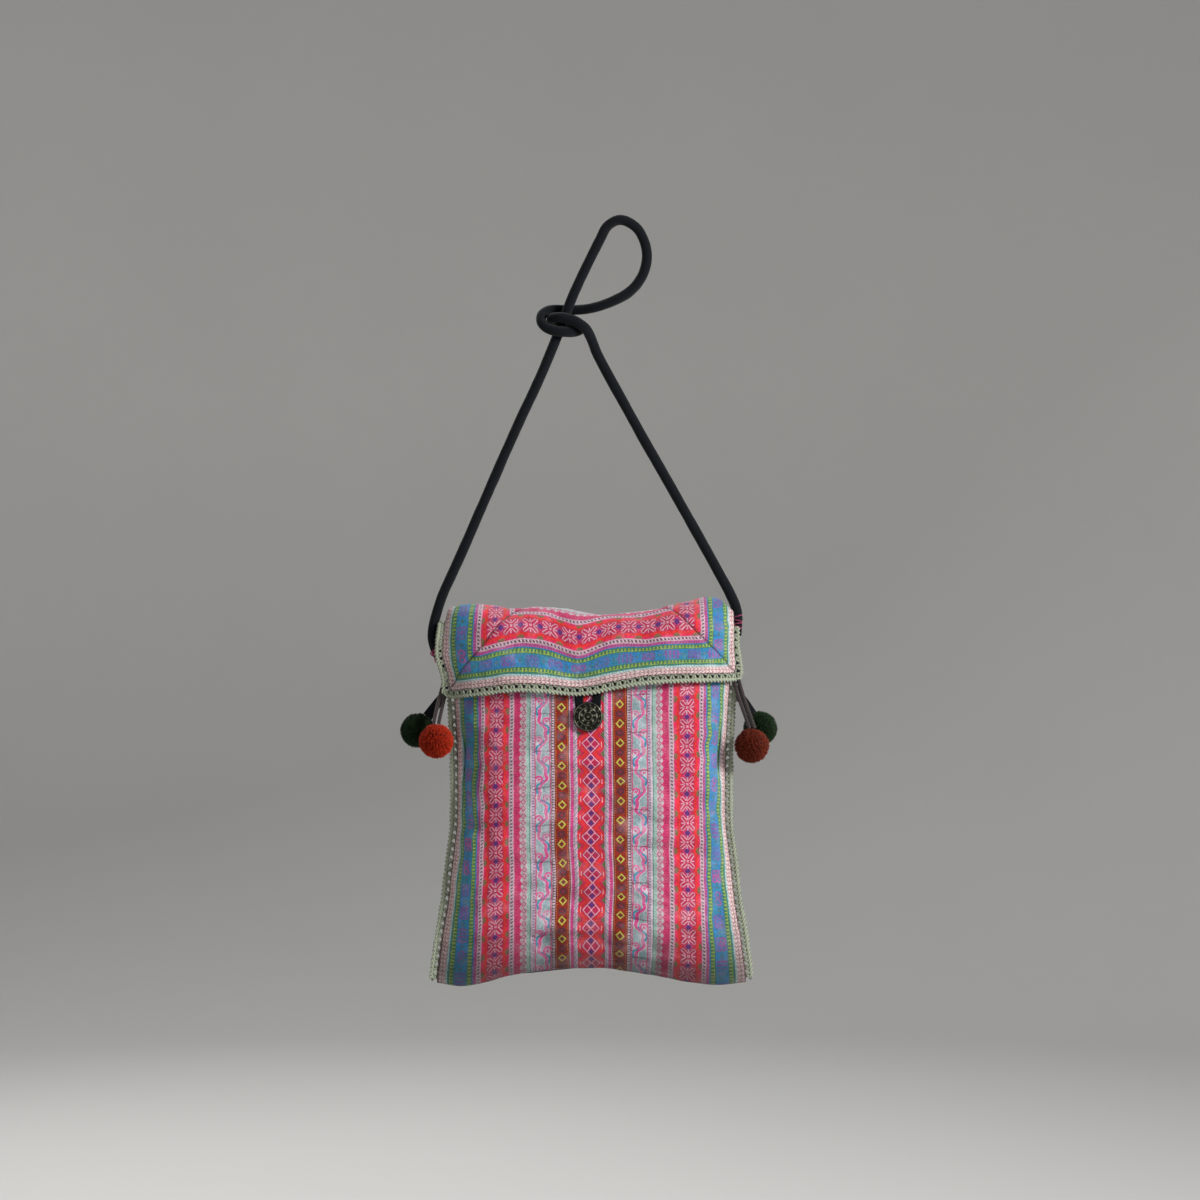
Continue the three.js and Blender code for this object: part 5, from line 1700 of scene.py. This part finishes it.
class BAG_OT_button(bpy.types.Operator):
    """Makes the metal button with its plain rings and rays"""

    bl_idname = "bag.button"
    bl_label = "Button"

    def execute(self, context):
        radius = size("button") / 2
        place, normal = front_place(BUTTON_SIDE, BUTTON_DROP)
        lift = BUTTON_LIFT
        front = lift + BUTTON_BODY
        rings = 56
        rr = np.concatenate([np.linspace(0, 0.99, rings), [1.0, 0.995, 0.93, 0.3, 0.16, 0.16, 0.0]])[:, None]
        face = np.arange(len(rr))[:, None] < rings
        angle = np.linspace(0, 2 * math.pi, 144, endpoint=False)[None, :]
        dome = 0.9 * (1 - rr**2)
        rim = 0.5 * bell(rr - 0.93, 0.05)
        inner = 0.5 * bell(rr - 0.6, 0.045) + 0.4 * bell(rr - 0.28, 0.045)
        rays = 0.55 * (0.5 + 0.5 * np.cos(14 * angle + 9 * rr)) ** 2 * bell(rr - 0.77, 0.1)
        petals = 0.6 * (0.5 + 0.5 * np.cos(7 * angle - 4 * rr)) * bell(rr - 0.44, 0.11)
        boss = 0.5 * bell(rr, 0.14)
        worn = 1 + 0.35 * lattice_noise(rr * 9 * np.cos(angle), rr * 9 * np.sin(angle), 2.3, 41)
        relief = (rim + inner + rays + petals + boss) * worn
        high = front - 0.75 + (dome + relief) * RELIEF_DEPTH
        back = np.array([front - 1.2, lift + 0.3, lift, lift, lift, 0.3, 0.3])[:, None]
        level = np.where(face, high, np.concatenate([np.zeros((rings, 1)), back]))
        across = unit(np.cross(normal, [0.0, 0.0, 1.0]))
        up = np.cross(across, normal)
        wobble = 1 + 0.006 * np.cos(3 * angle + 0.6)
        outward = across * np.cos(angle)[..., None] + up * np.sin(angle)[..., None]
        points = place + radius * (rr * wobble)[..., None] * outward + normal * level[..., None]
        quads = grid_quads(*points.shape[:2], wraps=True)
        values = {"relief": np.where(face, relief / RELIEF_DEPTH, 0.2) + 0 * angle}
        add_piece(
            "button_metal", points.reshape(-1, 3), quads, 0.003, metal_material(), ["button"], "button_metal",
            values=values,
        )
        return {"FINISHED"}


class BAG_OT_tapes(bpy.types.Operator):
    """Makes the button's loop and the two flat tapes of the green pompoms"""

    bl_idname = "bag.tapes"
    bl_label = "Loop and tapes"

    def execute(self, context):
        material = tape_material()
        bend, spread = 6.3, 1.6
        leg = BUTTON_DROP - HEM_AT_BUTTON + 7.0
        t = np.linspace(0, 1, 22)
        arc = math.pi * (1 + t[1:-1])
        x = np.concatenate([-bend - spread * (1 - t), bend * np.cos(arc), bend + spread * t])
        rise = np.concatenate([leg * (1 - t), bend * np.sin(arc), leg * t])
        place, normal = front_place(BUTTON_SIDE + x, BUTTON_DROP - rise)
        crimp = 0.12 * lattice_noise(np.arange(len(x)), np.zeros(len(x)), 3.0, 51)
        centre = place + normal * (0.45 + 1.2 + crimp)[:, None]
        along = unit(np.gradient(centre, axis=0))
        loop = tape_strip(centre, unit(np.cross(along, normal)), normal, 7.0)
        add_piece("button_loop_tape", *loop, 0.004, material, ["button_loop"], "navy_cloth")
        for side in (LEFT, RIGHT):
            path = tail_path(side)
            along = unit(np.gradient(path, axis=0))
            across = unit(np.stack([along[:, 2], 0 * along[:, 0], -along[:, 0]], -1))
            normal = np.cross(across, along)
            share = np.linspace(0, 1, len(path))
            ripple = 0.2 * lattice_noise(share * 40, share * 0, 6.0, 52)
            strip = tape_strip(path + normal * ripple[:, None], across, normal, 4.8 + 3.8 * share)
            node = f"tail_{SIDE_NAMES[side]}"
            add_piece(f"{node}_tape", *strip, 0.004, material, [node], "navy_cloth")
        return {"FINISHED"}


# shares of a pompom's radius, and a strand's radii from its foot to its tip
STRAND_BASE, STRAND_BEND, POMPOM_CORE = 0.66, 0.86, 0.84
STRAND_WIDTHS = np.array([0.28, 0.34, 0.26])


class BAG_OT_pompoms(bpy.types.Operator):
    """Makes the four pompoms of clipped yarn"""

    bl_idname = "bag.pompoms"
    bl_label = "Pompoms"

    def execute(self, context):
        looks = {
            "pompom_left_orange": pile_material("orange_pile", "orange_light", "orange_dark"),
            "pompom_right_orange": pile_material("rust_pile", "red_light", "red_dark"),
            "pompom_left_green": pile_material("green_pile", "green_light", "green_dark"),
        }
        looks["pompom_right_green"] = looks["pompom_left_green"]
        radius = size("pompom") / 2
        count = context.scene.bag_sizes.strands
        for seed, name in enumerate(POMPOMS):
            rng = np.random.default_rng(60 + seed)
            k = np.arange(count) + 0.5
            polar = np.arccos(1 - 2 * k / count)
            turn = math.pi * (1 + 5**0.5) * k
            ray = np.stack([np.sin(polar) * np.cos(turn), np.sin(polar) * np.sin(turn), np.cos(polar)], -1)
            tip = unit(ray + rng.normal(0, 0.06, ray.shape))
            lumps = 0.5 * lattice_noise(ray[:, 0] * 10 + ray[:, 2] * 4, ray[:, 1] * 10 - ray[:, 2] * 3, 3.0, 70 + seed)
            reach = radius - 0.7 + lumps + rng.uniform(-0.9, 0.9, count)
            base = ray * (radius * STRAND_BASE)
            bend = unit(ray + tip + rng.normal(0, 0.07, ray.shape)) * (reach * STRAND_BEND)[:, None]
            path = np.stack([base, bend, tip * reach[:, None]], 1)
            spare = unit(np.cross(ray, rng.normal(0, 1, ray.shape)))
            widths = STRAND_WIDTHS * rng.uniform(0.8, 1.2, count)[:, None]
            strands = tubes(path, widths, spare[:, None], 4)
            own = rng.uniform(0.3, 1.0, count)[:, None, None]
            # painted shade: each strand's own tone is dark at its foot, half at its bend and full at its tip, and the
            # core's zeros make it all shade
            tone = np.broadcast_to(own * np.array([0.0, 0.0, 0.45, 1.0, 1.0])[:, None], (count, 5, 4))
            u = np.linspace(0, math.pi, 25)[:, None]
            w = np.linspace(0, 2 * math.pi, 48, endpoint=False)[None, :]
            ball = [np.sin(u) * np.cos(w), np.sin(u) * np.sin(w), np.cos(u)]
            core = radius * POMPOM_CORE * np.stack(np.broadcast_arrays(*ball), -1)
            core_quads = grid_quads(*core.shape[:2], wraps=True)[:, ::-1]
            points, quads = merge_parts([strands, (core.reshape(-1, 3), core_quads)])
            values = {"tone": np.concatenate([tone.ravel(), np.zeros(core.size // 3)])}
            slot = "orange_yarn" if name.endswith("orange") else "green_yarn"
            points = points + pompom_centre(name)
            add_piece(f"{name}_pile", points, quads, 0.001, looks[name], [name], slot, values=values)
        return {"FINISHED"}


FLOOR_LEVEL = -1000.0
FLOOR_RADIUS = 2300.0
FLOOR_BEND = 1100.0
LIGHTS_AIM = (0.0, 0.0, -0.4)
# name, place in metres, width in metres and power in watts
LIGHTS = (
    ("key", (1.45, -1.05, 0.4), 0.55, 52.0), ("fill", (-1.7, -1.9, 0.3), 1.4, 7.0),
    ("back", (-0.9, 1.4, 0.9), 1.0, 34.0),
)
SKY, SKY_STRENGTH = (0.9, 0.93, 1.0, 1.0), 0.14


class BAG_OT_stage(bpy.types.Operator):
    """Adds the plain pale floor, which curves up all round, and the soft lights"""

    bl_idname = "bag.stage"
    bl_label = "Stage"

    def execute(self, context):
        bend = np.linspace(0, math.pi / 2, 24)[1:]
        radius = np.concatenate([
            [0.1], np.linspace(300, FLOOR_RADIUS, 8), FLOOR_RADIUS + FLOOR_BEND * np.sin(bend),
            np.full(4, FLOOR_RADIUS + FLOOR_BEND),
        ])
        bend_top = FLOOR_LEVEL + FLOOR_BEND
        z = np.concatenate([
            np.full(9, FLOOR_LEVEL), bend_top - FLOOR_BEND * np.cos(bend), np.linspace(500, 1700, 4),
        ])
        turn = np.linspace(0, 2 * math.pi, 96, endpoint=False)
        shape = (len(z), len(turn))
        ring = radius[:, None, None] * np.stack([np.cos(turn), np.sin(turn)], -1)
        points = np.concatenate([ring, np.broadcast_to(z[:, None, None], (*shape, 1))], -1)
        floor = make_mesh("floor", points.reshape(-1, 3), grid_quads(*shape, wraps=True))
        floor.data.materials.append(floor_material())
        for name, place, width, power in LIGHTS:
            data = bpy.data.lights.new(name, "AREA")
            data.shape, data.size, data.energy = "SQUARE", width, power
            light = bpy.data.objects.new(name, data)
            light.location = place
            x, y, z = np.array(LIGHTS_AIM) - place
            light.rotation_euler = (math.atan2(math.hypot(x, y), -z), 0, math.atan2(-x, y))
            context.scene.collection.objects.link(light)
        world = bpy.data.worlds.new("studio")
        world.use_nodes = True
        sky = world.node_tree.nodes["Background"]
        sky.inputs["Color"].default_value, sky.inputs["Strength"].default_value = SKY, SKY_STRENGTH
        context.scene.world = world
        context.scene.view_settings.view_transform = "Standard"
        return {"FINISHED"}


class BAG_PT_pieces(bpy.types.Panel):
    """Lists the bag's pieces, sizes and colours in the sidebar"""

    bl_idname = "BAG_PT_pieces"
    bl_label = "Shoulder bag"
    bl_space_type = "VIEW_3D"
    bl_region_type = "UI"
    bl_category = "Bag"

    def draw(self, context):
        for operator in OPERATORS:
            self.layout.operator(operator.bl_idname)
        for group in (context.scene.bag_sizes, context.scene.bag_colours):
            box = self.layout.box()
            for key in type(group).__annotations__:
                box.prop(group, key)


OPERATORS = (
    BAG_OT_camera, BAG_OT_strap, BAG_OT_stitches, BAG_OT_ties, BAG_OT_pouch, BAG_OT_flap, BAG_OT_crochet,
    BAG_OT_button, BAG_OT_tapes, BAG_OT_pompoms, BAG_OT_stage,
)
CLASSES = (BagColours, BagSizes, *OPERATORS, BAG_PT_pieces)


def register():
    for one in CLASSES:
        bpy.utils.register_class(one)
    bpy.types.Scene.bag_sizes = PointerProperty(type=BagSizes)
    bpy.types.Scene.bag_colours = PointerProperty(type=BagColours)


def unregister():
    del bpy.types.Scene.bag_colours
    del bpy.types.Scene.bag_sizes
    for one in reversed(CLASSES):
        bpy.utils.unregister_class(one)


def main():
    """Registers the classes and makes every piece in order."""
    register()
    for operator in OPERATORS:
        group, name = operator.bl_idname.split(".")
        getattr(getattr(bpy.ops, group), name)()


if __name__ == "__main__":
    main()
